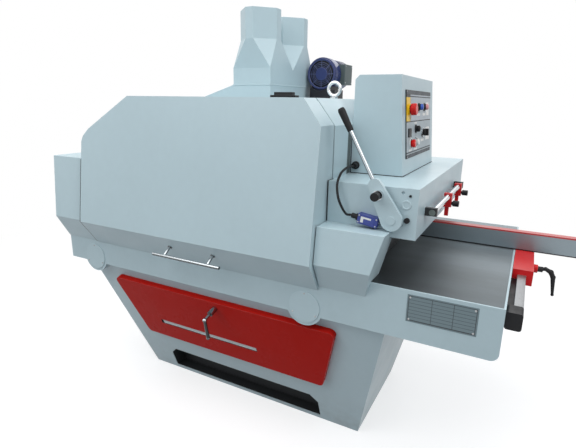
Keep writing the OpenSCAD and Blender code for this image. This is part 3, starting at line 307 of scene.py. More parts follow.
def brackets_painted_shade(t, tone, roughness):
    """The two brackets of the pointer bar, past the head's end face, are painted near black: painted shade
    behind the bar's end.
    """
    zone = t.math("GREATER_THAN", t.xyz()[0], HEAD_END)
    return t.mix(zone, tone, (0.014, 0.015, 0.017)), roughness


def bright_sleeve(t, tone, roughness):
    """The index plunger's sleeve on the lever arm is bright steel."""
    _, y, z = t.xyz()
    zone = t.math("MULTIPLY", t.math("LESS_THAN", y, SLEEVE_Y), t.math("GREATER_THAN", z, SLEEVE_Z))
    t.set(metal=zone)
    smoother = t.math("SUBTRACT", roughness, t.math("MULTIPLY", zone, 0.2))
    return t.mix(zone, tone, (0.62, 0.63, 0.65)), smoother


body = paint("body_paint", PAINT)
head_paint = paint("head_paint", PAINT, floor_dirt=False, extra=brackets_painted_shade)
arm_paint = paint("arm_paint", PAINT, floor_dirt=False, extra=bright_sleeve)
base_paint = paint("base_paint", PAINT, extra=toe_painted_shade)
bed_paint = paint("bed_paint", shade(PAINT, 0.97), rough=(0.4, 0.55), peel=0.22, spread=0.05,
                  extra=ground_deck)
door_paint = paint("door_paint", RED, rough=(0.24, 0.36), extra=pull_slot_light_and_shade, spec=0.03)
red_paint = paint("red_paint", (0.56, 0.012, 0.014), rough=(0.3, 0.45), peel=0.2, floor_dirt=False, spec=0.2)
navy = paint("navy_paint", (0.03, 0.042, 0.14), rough=(0.18, 0.34), peel=0.3, spread=0.15, floor_dirt=False)
grey_paint = paint("grey_paint", (0.085, 0.11, 0.11), rough=(0.4, 0.55), peel=0.25, floor_dirt=False,
                   spec=0.2)
# Painted shade: the parts inside the housing get the body paint darkened to a shaded copy.
inner_paint_shaded = paint("inner_paint_shaded", shade(PAINT, 0.7), rough=(0.5, 0.65), peel=0.2, floor_dirt=False)
black = plastic("black_plastic", (0.012, 0.0125, 0.014))
blue = plastic("blue_plastic", (0.06, 0.08, 0.28), rough=(0.3, 0.45))
red_plastic = plastic("red_plastic", (0.6, 0.012, 0.012), rough=(0.2, 0.32), grain=0.08)
white_plastic = plastic("white_plastic", (0.72, 0.72, 0.7), rough=(0.25, 0.4), grain=0.1, spread=0.04)
yellow = plastic("yellow_plastic", (0.85, 0.56, 0.02), rough=(0.3, 0.42), grain=0.1, spread=0.05)
rubber = plastic("rubber", (0.018, 0.018, 0.019), rough=(0.55, 0.75), grain=0.5, scale=500)
# Chrome and the handle steel carry a painted reflection, darker on their lower sides.
chrome = metal("chrome", (0.48, 0.53, 0.56), rough=(0.08, 0.2), spread=0.06, depth=0.00008,
               painted_reflection_tilt=(-0.36, -0.1))
handle_steel = metal("handle_steel", (0.5, 0.54, 0.56), rough=(0.14, 0.26), brush=(0.3, 20, 20),
                     spread=0.12, painted_reflection_tilt=(-0.15, 0.4))
zinc = metal("bright_zinc", (0.74, 0.75, 0.76), rough=(0.2, 0.32), spread=0.06, depth=0.00015)
steel = metal("steel", (0.42, 0.43, 0.44), rough=(0.28, 0.42))
black_steel = metal("black_steel", (0.014, 0.014, 0.018), rough=(0.4, 0.55), level=0.3)
blade_steel = metal("blade_steel", (0.6, 0.61, 0.63), rough=(0.18, 0.3))


BAR_Y0, BAR_Y1 = -0.3595, 0.2445
HEAD_SHADE_X, HEAD_SHADE_Y = (0.62, 0.98), (-0.45, 0.06)


def bar_material():
    """Bright drawn bar with dull sawn ends."""
    t = Tree("bar_steel")
    lines = t.noise(160, 6, 0.7, (20, 0.4, 20))
    y = t.xyz()[1]
    ends = t.math("MAXIMUM", t.math("LESS_THAN", y, BAR_Y0), t.math("GREATER_THAN", y, BAR_Y1))
    tone = t.mix(t.remap(lines, 0.3, 0.7, 0, 1), (0.5, 0.51, 0.53), (0.6, 0.61, 0.63))
    t.set(base=t.mix(ends, tone, (0.13, 0.16, 0.15)),
          metal=t.math("SUBTRACT", 1.0, t.math("MULTIPLY", ends, 0.8)),
          rough=t.math("ADD", t.remap(lines, 0.3, 0.7, 0.1, 0.24), t.math("MULTIPLY", ends, 0.35)))
    t.bump((lines, 0.15, 0.0002))
    return t.mat


def table_material():
    """Ground table plate: fine lines along the feed, oily patches, and painted shade, darkest below the head.
    """
    t = Tree("ground_table")
    lines = t.noise(60, 8, 0.75, (0.35, 30, 1))
    broad = t.noise(3.2, 4, 0.55, (0.5, 2.2, 1))
    tone = t.mix(t.remap(lines, 0.35, 0.65, 0, 1), (0.19, 0.225, 0.245), (0.31, 0.36, 0.385))
    tone = t.mix(t.remap(broad, 0.4, 0.7, 0, 0.5), tone, (0.13, 0.145, 0.15))
    # Painted shade: darker towards the head and the front, for the head's shadow and its dark underside
    # mirrored in the plate.
    near = t.remap(t.xyz()[0], *HEAD_SHADE_X, 1.0, 0.55)
    front = t.remap(t.xyz()[1], *HEAD_SHADE_Y, 1.0, 0.0)
    tone = t.mix(t.math("MULTIPLY", t.math("MULTIPLY", near, front), 0.9), tone, (0.02, 0.023, 0.025))
    t.set(base=tone, rough=t.remap(lines, 0.3, 0.7, 0.42, 0.6), metal=0.6, spec=0.25)
    t.bump((lines, 0.3, 0.0004), (broad, 0.03, 0.002))
    return t.mat


ALU_LEVEL = 0.9
FENCE_BAND_Z, FENCE_FOOT_Z = 0.8375, 0.7755
MARKS = ((0.005, 0.0007, 1.0605), (0.01, 0.0009, 1.0565), (0.05, 0.0012, 1.050))
MARK_FOOT_Z = 0.735
PLATE_X, PLATE_Z, PLATE_RIM, PLATE_ROW = (0.759, 0.950), (0.674, 0.751), 0.002, 0.011
PLATE_COLUMNS, RULE_WIDTH = (0.826, 0.888), 0.0015


def brushed_alu(name, axis_stretch, extra, color, rough):
    """Extruded aluminium with lines along its length; extra adds the marks on it: print, and on the fence a
    red band and a painted shadow.
    """
    t = Tree(name)
    lines = t.noise(120, 6, 0.7, axis_stretch)
    tone = t.mix(t.remap(lines, 0.3, 0.7, 0, 1), shade(color, 0.9), shade(color, 1.08))
    tone, level = extra(t, tone)
    t.set(base=tone, rough=t.remap(lines, 0.3, 0.7, *rough), metal=level)
    t.bump((lines, 0.15, 0.0003))
    return t.mat


def fence_band_and_foot_shade(t, tone):
    """A red band runs along the top of the fence; a near black strip along its foot is painted shadow, for
    the shadow line between the fence and the table.
    """
    z = t.xyz()[2]
    band = t.math("GREATER_THAN", z, FENCE_BAND_Z)
    foot = t.math("LESS_THAN", z, FENCE_FOOT_Z)
    tone = t.mix(foot, t.mix(band, tone, (0.42, 0.03, 0.03)), (0.01, 0.01, 0.011))
    return tone, t.math("SUBTRACT", ALU_LEVEL, t.math("MULTIPLY", t.math("MAXIMUM", band, foot), 0.85))


def ruler(t, tone):
    """Marks every 5, 10 and 50 mm along the scale bar; each row of MARKS is step, width and reach."""
    y = t.xyz()[1]
    zone = None
    for step, width, reach in MARKS:
        rest = t.math("FRACT", t.math("DIVIDE", t.math("ADD", y, 1.0), step))
        mark = t.math("LESS_THAN", rest, width / step)
        mark = t.math("MULTIPLY", mark, t.math("GREATER_THAN", t.xyz()[0], reach))
        zone = mark if zone is None else t.math("MAXIMUM", zone, mark)
    zone = t.math("MULTIPLY", zone, t.math("GREATER_THAN", t.xyz()[2], MARK_FOOT_Z))
    return t.mix(zone, tone, (0.02, 0.02, 0.02)), t.math("SUBTRACT", ALU_LEVEL, t.math("MULTIPLY", zone, 0.8))


def plate_lines(t, tone):
    """A bare data plate: a printed frame and ruled rows with nothing written in them."""
    x, _, z = t.xyz()
    inner = t.math("MULTIPLY", t.between(x, *PLATE_X), t.between(z, *PLATE_Z))
    rows = t.math("FRACT", t.math("DIVIDE", t.math("SUBTRACT", z, PLATE_Z[0]), PLATE_ROW))
    rule = t.math("LESS_THAN", rows, 0.1)
    column = t.math("MAXIMUM", *(t.between(x, at, at + RULE_WIDTH) for at in PLATE_COLUMNS))
    lined = t.math("MULTIPLY", t.math("MAXIMUM", rule, column), inner)
    whole = t.math("MULTIPLY", t.between(x, PLATE_X[0] - PLATE_RIM, PLATE_X[1] + PLATE_RIM),
                   t.between(z, PLATE_Z[0] - PLATE_RIM, PLATE_Z[1] + PLATE_RIM))
    edge = t.math("SUBTRACT", whole, inner)
    dark = t.math("MAXIMUM", lined, edge)
    return t.mix(dark, tone, (0.05, 0.055, 0.06)), 0.85


table_steel = table_material()
bar_steel = bar_material()
alu_x = brushed_alu("fence_aluminium", (0.4, 25, 25), fence_band_and_foot_shade, (0.25, 0.3, 0.33), (0.26, 0.4))
alu_y = brushed_alu("scale_aluminium", (25, 0.4, 25), ruler, (0.34, 0.35, 0.36), (0.4, 0.55))
plate = brushed_alu("plate_aluminium", (0.5, 20, 20), plate_lines, (0.15, 0.2, 0.22), (0.5, 0.65))

# Material of each CAD node
assigned = {
    "base_cabinet": base_paint, "access_door": door_paint, "door_latch": handle_steel, "bed": bed_paint,
    "bearing_covers": body, "small_screws": steel, "infeed_table": table_steel, "nameplate": plate,
    "fence_rail": black, "fence_scale": alu_y, "fence_block": red_paint, "fence_profile": alu_x,
    "fence_clamp_lever": black, "main_housing": body, "hood_door": body, "hood_hinge": steel,
    "hood_handle": handle_steel, "hood_interlock": black, "infeed_cover": body, "outfeed_cover": body,
    "infeed_head": head_paint, "dust_base": body, "dust_outlets": body, "lift_gearbox": black_steel,
    "lift_motor": navy, "motor_terminal_box": grey_paint, "lifting_eyes": zinc, "control_cabinet": body,
    "control_panel": black, "e_stop_button": red_plastic, "stop_button": red_plastic,
    "start_button": white_plastic, "mode_selector": black, "cable_glands": black, "lever_arm": arm_paint,
    "lever_rod": chrome, "lever_grip": black, "index_plunger": black, "kickback_fingers": steel,
    "limit_switch": blue, "switch_plunger": chrome, "switch_cable": rubber, "pointer_bar": bar_steel,
    "pointer_front": red_paint, "pointer_rear": red_paint, "pointer_knob_front": black,
    "pointer_knob_rear": black, "head_plugs": black, "saw_arbor": steel, "saw_blades": blade_steel,
    "arbor_housing": inner_paint_shaded, "main_motor": navy, "motor_pulley": steel, "drive_belts": rubber,
    "feed_roller_infeed": steel, "feed_roller_outfeed": steel, "pressure_frame": inner_paint_shaded,
    "pressure_roller_infeed": rubber, "pressure_roller_outfeed": rubber, "lift_screw": steel,
}
# Width in metres of the rounding on the nodes' edges
soft_edge = {
    "base_cabinet": 0.004, "access_door": 0.005, "bed": 0.004, "main_housing": 0.004, "hood_door": 0.0025,
    "infeed_cover": 0.0025, "outfeed_cover": 0.0025, "infeed_head": 0.005, "dust_base": 0.0015,
    "dust_outlets": 0.0012, "control_cabinet": 0.0022, "fence_block": 0.003, "fence_profile": 0.0008,
    "fence_scale": 0.001, "fence_rail": 0.002, "lift_gearbox": 0.004, "motor_terminal_box": 0.005,
    "hood_interlock": 0.002, "limit_switch": 0.002, "lever_arm": 0.003, "pointer_front": 0.0015,
    "pointer_rear": 0.0015, "infeed_table": 0.0008, "nameplate": 0.0003, "control_panel": 0.0008,
    "e_stop_button": 0.003, "stop_button": 0.0015, "start_button": 0.0015, "mode_selector": 0.0012,
    "lever_grip": 0.0012, "index_plunger": 0.0025, "pointer_knob_front": 0.0015, "pointer_knob_rear": 0.0015,
    "cable_glands": 0.0015, "bearing_covers": 0.001, "head_plugs": 0.001, "small_screws": 0.0006,
    "hood_handle": 0.0012, "lift_motor": 0.003, "pressure_frame": 0.0015, "arbor_housing": 0.002,
    "main_motor": 0.004,
}
WELD_GAP, FLAT_ANGLE, EDGE_ANGLE, DUCT_EDGE_ANGLE, SHINE_WEIGHT = 0.00001, 0.4, 32, 6, 80

# Arc mitres fold the large faces of these nodes
plain_miter = [nodes[name] for name in ("bed", "control_cabinet", "main_housing", "dust_base")]


def weld(obj):
    obj.modifiers.new("weld", "WELD").merge_threshold = WELD_GAP


def round_edges(obj, width, angle):
    """Rounds the edges sharper than angle, and returns that modifier."""
    edge = obj.modifiers.new("edge", "BEVEL")
    edge.width = width
    edge.segments = 2
    edge.limit_method = "ANGLE"
    edge.angle_limit = math.radians(angle)
    obj.modifiers.new("shine", "WEIGHTED_NORMAL").weight = SHINE_WEIGHT
    return edge


def soften(obj, width, angle):
    """Welds the facets, rounds sharp edges by width and keeps flat faces flat."""
    weld(obj)
    if obj != nodes["dust_base"]:
        flat = obj.modifiers.new("flat", "DECIMATE")
        flat.decimate_type = "DISSOLVE"
        flat.angle_limit = math.radians(FLAT_ANGLE)
    edge = round_edges(obj, width, angle)
    edge.miter_outer = "MITER_SHARP" if obj in plain_miter else "MITER_ARC"


for name, obj in nodes.items():
    obj.data.materials.clear()
    obj.data.materials.append(assigned[name])
    for poly in obj.data.polygons:
        poly.material_index = 0
    if name in soft_edge:
        for poly in obj.data.polygons:
            poly.use_smooth = True
        soften(obj, soft_edge[name], DUCT_EDGE_ANGLE if name in ("dust_outlets", "dust_base") else EDGE_ANGLE)

# The journals' facets keep clear of the facets of the bed's bores as the rollers turn
RUNNING_GAP = 0.00025
for name in ("feed_roller_infeed", "feed_roller_outfeed"):
    weld(nodes[name])
    room = nodes[name].modifiers.new("room", "DISPLACE")
    room.mid_level = 0.0
    room.strength = -RUNNING_GAP

# Mesh tools for the small pieces


def piece(name, bm, mat, on, matrix=None, bevel=0.0):
    """Turns a bmesh into a piece that rides on a CAD body."""
    mesh = bpy.data.meshes.new(name)
    bmesh.ops.recalc_face_normals(bm, faces=bm.faces)
    bm.to_mesh(mesh)
    bm.free()
    if matrix is not None:
        mesh.transform(matrix)
    mesh.materials.append(mat)
    for poly in mesh.polygons:
        poly.use_smooth = True
    obj = bpy.data.objects.new(name, mesh)
    scene.collection.objects.link(obj)
    if bevel:
        round_edges(obj, bevel, EDGE_ANGLE)
    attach(obj, on)


def add_box(bm, lo, hi):
    """Box between two corners."""
    size = [b - a for a, b in zip(lo, hi)]
    mid = [(a + b) / 2 for a, b in zip(lo, hi)]
    m = Matrix.Translation(mid) @ Matrix.Diagonal((*size, 1))
    bmesh.ops.create_cube(bm, size=1, matrix=m)


def add_turned_box(bm, lo, hi, matrix):
    """Box between two corners, then turned by a matrix."""
    start = len(bm.verts)
    add_box(bm, lo, hi)
    bm.verts.ensure_lookup_table()
    bmesh.ops.transform(bm, matrix=matrix, verts=bm.verts[start:])


def around(at, radius, z, sides):
    """Points of a circle about a local z axis."""
    turns = [2 * math.pi * k / sides for k in range(sides)]
    return [(at[0] + radius * math.cos(a), at[1] + radius * math.sin(a), z) for a in turns]


def add_tube(bm, at, radius, lo, hi):
    """Cylinder along local z."""
    m = Matrix.Translation((at[0], at[1], (lo + hi) / 2))
    bmesh.ops.create_cone(bm, cap_ends=True, segments=32, radius1=radius, radius2=radius, depth=hi - lo,
                          matrix=m)


def add_dome(bm, at, radius, z, height, sides=28, rings=5):
    """Low dome standing on z."""
    rows = []
    for i in range(rings):
        a = math.pi / 2 * i / rings
        circle = around(at, radius * math.cos(a), z + height * math.sin(a), sides)
        rows.append([bm.verts.new(point) for point in circle])
    tip = bm.verts.new((at[0], at[1], z + height))
    for lower, upper in zip(rows, rows[1:]):
        for k in range(sides):
            bm.faces.new((lower[k], lower[(k + 1) % sides], upper[(k + 1) % sides], upper[k]))
    for k in range(sides):
        bm.faces.new((rows[-1][k], rows[-1][(k + 1) % sides], tip))
    bm.faces.new(rows[0])


def add_ring(bm, at, inner, outer, lo, hi, sides=48):
    """Flat ring with a square section, standing on local z."""
    rows = []
    for r, z in ((inner, lo), (outer, lo), (outer, hi), (inner, hi)):
        rows.append([bm.verts.new(point) for point in around(at, r, z, sides)])
    for low, high in zip(rows, rows[1:] + rows[:1]):
        for k in range(sides):
            bm.faces.new((low[k], low[(k + 1) % sides], high[(k + 1) % sides], high[k]))


# Frames of faces, with local z pointing out of the face: towards -Y, towards +X, and the leaning panel

near_face = Matrix.Rotation(math.pi / 2, 4, "X")
end_face = Matrix.Rotation(math.pi / 2, 4, "Z") @ near_face
panel_lean = math.atan2(0.028, 0.336)
panel_frame = Matrix.Translation((0.647, 0, 1.069)) @ Matrix.Rotation(-panel_lean, 4, "Y") @ end_face

# Control panel overlay: fields, strips, plates and lamp lenses

panel_grey = plastic("panel_grey", (0.4, 0.46, 0.49), rough=(0.4, 0.55), grain=0.15, spread=0.05)
panel_pale = plastic("panel_pale", (0.44, 0.49, 0.53), rough=(0.4, 0.55), grain=0.15, spread=0.05)
panel_dark = plastic("panel_dark", (0.045, 0.058, 0.07), rough=(0.4, 0.55), grain=0.15, spread=0.05)
lens_blue = plastic("lens_blue", (0.05, 0.12, 0.5), rough=(0.08, 0.15), grain=0.03)
lens_pink = plastic("lens_pink", (0.62, 0.28, 0.3), rough=(0.08, 0.15), grain=0.03)
PANEL_FACE = 0.003
PANEL_Y0, PANEL_Y1 = -0.205, 0.191
PANEL_V0, PANEL_V1 = 0.059, 0.288
E_STOP_Y = (-0.151, -0.149)
THIN, LINE, TAG = 0.0006, 0.0008, 0.0011


def panel_plate(name, y0, y1, v0, v1, mat, rise=THIN):
    """Thin plate on the panel, y across and v up."""
    bm = bmesh.new()
    add_box(bm, (y0, v0, PANEL_FACE), (y1, v1, PANEL_FACE + rise))
    piece(name, bm, mat, ROOT, panel_frame, 0.0003)


panel_plate("panel_strip_low", PANEL_Y0, PANEL_Y1, PANEL_V0, 0.069, panel_dark)
panel_plate("panel_line_low", PANEL_Y0, PANEL_Y1, 0.0735, 0.0785, panel_dark, LINE)
panel_plate("panel_strip_high", PANEL_Y0, PANEL_Y1, 0.276, PANEL_V1, panel_dark)
panel_plate("panel_line_high", PANEL_Y0, PANEL_Y1, 0.2665, 0.2705, panel_dark, LINE)
panel_plate("panel_field_low", PANEL_Y0, PANEL_Y1, 0.070, 0.181, panel_grey)
panel_plate("panel_field_high", E_STOP_Y[1], PANEL_Y1, 0.1845, 0.275, panel_pale)
panel_plate("e_stop_field", PANEL_Y0, E_STOP_Y[0], 0.1845, 0.2655, yellow)
for i, (y, v, w, h) in enumerate([
    (-0.024, 0.205, 0.05, 0.01), (0.068, 0.205, 0.05, 0.01), (0.13, 0.225, 0.05, 0.05),
    (-0.15, 0.083, 0.04, 0.007), (-0.072, 0.083, 0.04, 0.007), (0.04, 0.108, 0.05, 0.009),
    (-0.072, 0.176, 0.04, 0.006), (0.13, 0.13, 0.07, 0.05),
]):
    panel_plate(f"panel_tag_{i}", y - w / 2, y + w / 2, v - h / 2, v + h / 2, white_plastic,
                TAG)
LENS_R, LENS_FOOT, LENS_TOP, LENS_DOME = 0.0112, 0.0125, 0.0175, 0.005
for tag, (y, v), mat, slot in (("blue", (-0.024, 0.232), lens_blue, "blue_plastic"),
                               ("pink", (0.068, 0.232), lens_pink, "red_plastic"),
                               ("dark", (-0.072, 0.155), black, "black_plastic")):
    bm = bmesh.new()
    add_tube(bm, (y, v), LENS_R, LENS_FOOT, LENS_TOP)
    add_dome(bm, (y, v), LENS_R, LENS_TOP - 0.0001, LENS_DOME)
    piece(f"lamp_lens_{tag}", bm, mat, ROOT, panel_frame)
for tag, (y, v), inner, outer, mat, slot in (
        ("e_stop", (-0.166, 0.224), 0.0155, 0.0195, yellow, "white_plastic"),
        ("stop", (-0.15, 0.107), 0.0155, 0.0185, white_plastic, "white_plastic"),
        ("start", (-0.072, 0.107), 0.0155, 0.0185, chrome, "chrome"),
        ("selector", (0.04, 0.137), 0.0155, 0.0185, chrome, "chrome")):
    bm = bmesh.new()
    add_ring(bm, (y, v), inner, outer, PANEL_FACE + 0.0004, PANEL_FACE + 0.0045, 40)
    piece(f"bezel_{tag}", bm, mat, ROOT, panel_frame, 0.0008)

# Lift motor: cooling ribs, left out below and at the terminal box, and the fan cowl's guard

MOTOR_X, MOTOR_Z, MOTOR_R = 0.165, 1.433, 0.060
COWL_END, RIB_Y0, RIB_Y1 = 0.1220, 0.1785, 0.312
RIBS, SPOKES = 44, 8
bm = bmesh.new()
for k in range(RIBS):
    a = 2 * math.pi * k / RIBS
    if math.cos(a) > 0.55 and abs(math.sin(a)) < 0.62 or math.sin(a) < -0.55:
        continue
    m = Matrix.Translation((MOTOR_X, 0, MOTOR_Z)) @ Matrix.Rotation(-a, 4, "Y")
    add_turned_box(bm, (MOTOR_R - 0.001, RIB_Y0, -0.0013), (MOTOR_R + 0.007, RIB_Y1, 0.0013), m)
piece("motor_ribs", bm, navy, ROOT)

cowl = Matrix.Translation((MOTOR_X, COWL_END, MOTOR_Z)) @ near_face
bm = bmesh.new()
for r in (0.0325, 0.0395, 0.0465):
    add_ring(bm, (0, 0), r, r + 0.0022, 0, 0.0022)
for k in range(SPOKES):
    m = Matrix.Rotation(2 * math.pi * k / SPOKES, 4, "Z")
    add_turned_box(bm, (0.0275, -0.0016, 0), (0.0572, 0.0016, 0.0016), m)
piece("motor_cowl_guard", bm, navy, ROOT, cowl, 0.0004)
bm = bmesh.new()
add_ring(bm, (0, 0), 0.0281, 0.0569, -0.0004, 0.0002)
piece("motor_cowl_shadow", bm, black, ROOT, cowl)

# Screw heads on the switch, terminal box and panel, and the switch's lid and bare label


def screw_heads(name, places, matrix, radius):
    """Low domed heads, standing on local z."""
    bm = bmesh.new()
    for x, y, z in places:
        add_dome(bm, (x, y), radius, z, radius * 0.45, 20, 4)
    piece(name, bm, steel, ROOT, matrix)


switch_tilt = Matrix.Rotation(math.radians(9), 4, "Y")
switch_frame = Matrix.Translation((0.606, -0.482, 0.961)) @ switch_tilt @ near_face
switch_places = [(sx * 0.028, sy * 0.011, 0) for sx in (-1, 1) for sy in (-1, 1)]
screw_heads("switch_screws", switch_places, switch_frame, 0.0026)
bm = bmesh.new()
add_box(bm, (-0.023, -0.012, 0), (0.023, 0.012, 0.0016))
piece("switch_lid", bm, blue, ROOT, switch_frame, 0.0006)
bm = bmesh.new()
add_box(bm, (-0.021, -0.009, 0.0015), (-0.012, 0.010, 0.002))
add_box(bm, (-0.012, 0.004, 0.0015), (0.012, 0.010, 0.002))
piece("switch_label", bm, white_plastic, ROOT, switch_frame, 0.0002)
terminal_frame = Matrix.Translation((0.253, 0, 0)) @ end_face
terminal_places = [(y, z, 0) for y in (0.188, 0.258) for z in (1.398, 1.468)]
screw_heads("terminal_screws", terminal_places, terminal_frame, 0.003)
panel_places = [(y, v, PANEL_FACE) for y in (-0.1957, 0.1824) for v in (0.062, 0.285)]
screw_heads("panel_screws", panel_places, panel_frame, 0.003)

# Folded seam round the dust box

SEAM_X, SEAM_Y, SEAM_WIDTH = 0.0885, 0.1915, 0.002
SEAM_Z0, SEAM_Z1 = 1.3745, 1.3795
bm = bmesh.new()
for x0, x1, y0, y1 in ((-SEAM_X, SEAM_X, -SEAM_Y, SEAM_WIDTH - SEAM_Y),
                       (-SEAM_X, SEAM_X, SEAM_Y - SEAM_WIDTH, SEAM_Y),
                       (-SEAM_X, SEAM_WIDTH - SEAM_X, -SEAM_Y, SEAM_Y),
                       (SEAM_X - SEAM_WIDTH, SEAM_X, -SEAM_Y, SEAM_Y)):
    add_box(bm, (x0, y0, SEAM_Z0), (x1, y1, SEAM_Z1))
piece("dust_seams", bm, body, ROOT, None, 0.0008)

# Dark rubber strip on the outfeed cover, along the hood's edge: painted shadow, for the shade that the hood's
# proud edge casts on the cover

bm = bmesh.new()
outer = [(-0.5402, 1.0705), (-0.5757, 0.8120), (-0.4990, 0.7048)]
inner = [(-0.5163, 1.0705), (-0.5523, 0.8070), (-0.4984, 0.7054)]
rows = []
for x in (-0.6166, -0.6129):
    rows.append([[bm.verts.new((x, y, z)) for y, z in line] for line in (outer, inner)])
for i in range(2):
    for side in (0, 1):
        o, n = rows[side]
        bm.faces.new((o[i], o[i + 1], n[i + 1], n[i]))
    for k in (0, 1):
        a, b = rows[0][k], rows[1][k]
        bm.faces.new((a[i], a[i + 1], b[i + 1], b[i]))
for i in (0, 2):
    bm.faces.new((rows[0][0][i], rows[0][1][i], rows[1][1][i], rows[1][0][i]))
piece("hood_edge_shadow", bm, rubber, ROOT, None, 0.0008)

# Ribbed grey liner in the slot of the housing's end wall, beside the control cabinet: painted shade, its dark
# grey standing for the shaded gap between the housing and the cabinet

SLOT_Y0, SLOT_Z0, SLOT_Z1 = -0.2894, 1.0712, 1.2385
bm = bmesh.new()
for k in range(4):
    y = SLOT_Y0 + 0.008 * k
    add_box(bm, (0.4535, y, SLOT_Z0), (0.4585 - 0.0006 * (k % 2), y + 0.0078, SLOT_Z1))
piece("slot_shade_liner", bm, grey_paint, ROOT, None, 0.0006)

# Dark strip on the housing's end wall, between that slot and the cabinet: painted shade, for the shaded gap
# beside the cabinet

SHADE_STRIP_Y0, SHADE_STRIP_WIDTH, SHADE_STRIP_Z1 = -0.2572, 0.0088, 1.205
bm = bmesh.new()
for k in range(2):
    y = SHADE_STRIP_Y0 + SHADE_STRIP_WIDTH * k
    add_box(bm, (0.4586, y, SLOT_Z0), (0.4602 - 0.0004 * k, y + SHADE_STRIP_WIDTH, SHADE_STRIP_Z1))
piece("slot_shade_strip", bm, panel_dark, ROOT, None, 0.0004)

# Rubber gasket round the control cabinet's foot, and at the head's rear end a dark rubber strip that is
# painted shadow, for the shaded gap between the head and the housing

bm = bmesh.new()
lo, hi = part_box("control_cabinet")
foot, out, depth, high = lo[2], 0.0008, 0.002, 0.0026
for x0, x1, y0, y1 in ((lo[0] - out, hi[0] + out, lo[1] - out, lo[1] + depth),
                       (lo[0] - out, hi[0] + out, hi[1] - depth, hi[1] + out),
                       (hi[0] - depth, hi[0] + out, lo[1], hi[1])):
    add_box(bm, (x0, y0, foot), (x1, y1, foot + high))
piece("cabinet_gasket", bm, rubber, ROOT, None, 0.0004)
bm = bmesh.new()
add_box(bm, (0.4588, -0.4552, 0.937), (0.4616, -0.4500, 1.0685))
add_box(bm, (0.4588, -0.4552, 1.0660), (0.4616, -0.4120, 1.0698))
piece("head_gap_shadow", bm, rubber, ROOT, None, 0.0005)

# Stage: pale floor, soft studio light, white surround


def floor_material():
    """White to the eye, with the object's shadow near it; duller for the light that bounces off it."""
    t = Tree("floor")
    x, y, _ = t.xyz()
    radius = t.math("SQRT", t.math("ADD", t.math("MULTIPLY", x, x), t.math("MULTIPLY", y, y)))
    t.set(base=varied(t, (0.5, 0.5, 0.505), 0.02, 1.2), rough=0.75, spec=0.1)
    t.bump((t.noise(60, 3, 0.5), 0.03, 0.001))
    lift = t.new("ShaderNodeEmission")
    lift.inputs["Strength"].default_value = 0.62
    near = t.new("ShaderNodeAddShader")
    t.link(t.bsdf.outputs[0], near.inputs[0])
    t.link(lift.outputs[0], near.inputs[1])
    white = t.new("ShaderNodeEmission")
    white.inputs["Strength"].default_value = 1.0
    fade = t.new("ShaderNodeMixShader")
    t.link(t.remap(radius, 1.2, 3.4, 0.0, 1.0), fade.inputs[0])
    t.link(near.outputs[0], fade.inputs[1])
    t.link(white.outputs[0], fade.inputs[2])
    dull = t.new("ShaderNodeBsdfDiffuse")
    dull.inputs["Color"].default_value = (0.3, 0.31, 0.32, 1)
    rays = t.new("ShaderNodeLightPath")
    seen = t.math("MAXIMUM", rays.outputs["Is Camera Ray"], rays.outputs["Is Glossy Ray"])
    seen = t.math("MAXIMUM", seen, rays.outputs["Is Transmission Ray"])
    pick = t.new("ShaderNodeMixShader")
    t.link(seen, pick.inputs[0])
    t.link(dull.outputs[0], pick.inputs[1])
    t.link(fade.outputs[0], pick.inputs[2])
    t.link(pick.outputs[0], t.out.inputs["Surface"])
    return t.mat


FLOOR_HALF = 14
bm = bmesh.new()
bmesh.ops.create_grid(bm, x_segments=1, y_segments=1, size=FLOOR_HALF)
mesh = bpy.data.meshes.new("floor")
bm.to_mesh(mesh)
bm.free()
mesh.materials.append(floor_material())
floor = bpy.data.objects.new("floor", mesh)
scene.collection.objects.link(floor)

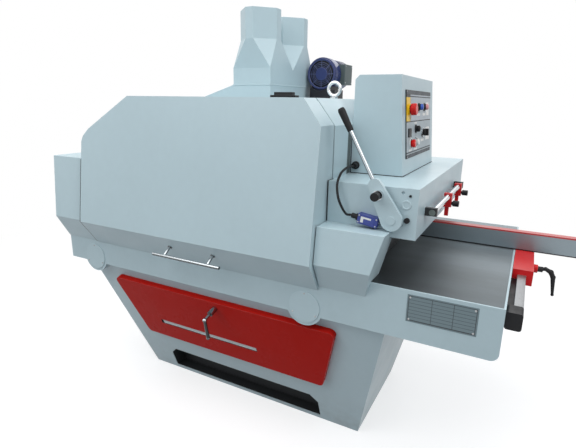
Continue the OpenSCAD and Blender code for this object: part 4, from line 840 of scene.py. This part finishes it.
AMBIENT = 0.52
world = bpy.data.worlds.new("studio")
scene.world = world
world.use_nodes = True
wt = world.node_tree
wt.nodes.clear()
w_out = wt.nodes.new("ShaderNodeOutputWorld")
mixer = wt.nodes.new("ShaderNodeMixShader")
ambient = wt.nodes.new("ShaderNodeBackground")
ambient.inputs["Color"].default_value = (0.93, 0.96, 1.0, 1)
ambient.inputs["Strength"].default_value = AMBIENT
backdrop = wt.nodes.new("ShaderNodeBackground")
backdrop.inputs["Color"].default_value = (1, 1, 1, 1)
backdrop.inputs["Strength"].default_value = 1.0
rays = wt.nodes.new("ShaderNodeLightPath")
first = wt.nodes.new("ShaderNodeMath")
first.operation = "MAXIMUM"
second = wt.nodes.new("ShaderNodeMath")
second.operation = "MAXIMUM"
wt.links.new(rays.outputs["Is Camera Ray"], first.inputs[0])
wt.links.new(rays.outputs["Is Glossy Ray"], first.inputs[1])
wt.links.new(first.outputs[0], second.inputs[0])
wt.links.new(rays.outputs["Is Transmission Ray"], second.inputs[1])
wt.links.new(second.outputs[0], mixer.inputs[0])
wt.links.new(ambient.outputs[0], mixer.inputs[1])
wt.links.new(backdrop.outputs[0], mixer.inputs[2])
wt.links.new(mixer.outputs[0], w_out.inputs["Surface"])


def area_light(name, place, target, size, power):
    """Rectangular lamp at place that faces target."""
    data = bpy.data.lights.new(name, "AREA")
    data.shape = "RECTANGLE"
    data.size, data.size_y = size
    data.energy = power
    obj = bpy.data.objects.new(name, data)
    scene.collection.objects.link(obj)
    obj.location = place
    obj.rotation_mode = "QUATERNION"
    obj.rotation_quaternion = (Vector(target) - Vector(place)).to_track_quat("-Z", "Y")


area_light("overhead", (-0.3, -0.6, 4.6), (0, 0, 0.8), (5, 4), 96)
area_light("front_top", (-0.5, -2.5, 3.1), (-0.1, -0.4, 1.2), (2.6, 1.0), 13)
area_light("window_left", (-2.0, -3.8, 3.3), (-0.1, 0, 1.1), (2.4, 2.0), 36)
area_light("fill_right", (3.6, -1.7, 3.9), (0.2, 0, 1.2), (2.2, 1.8), 66)
area_light("rim_back", (0.5, 4.4, 3.0), (0, 0, 0.9), (3, 2), 22)

scene.view_settings.view_transform = "Standard"
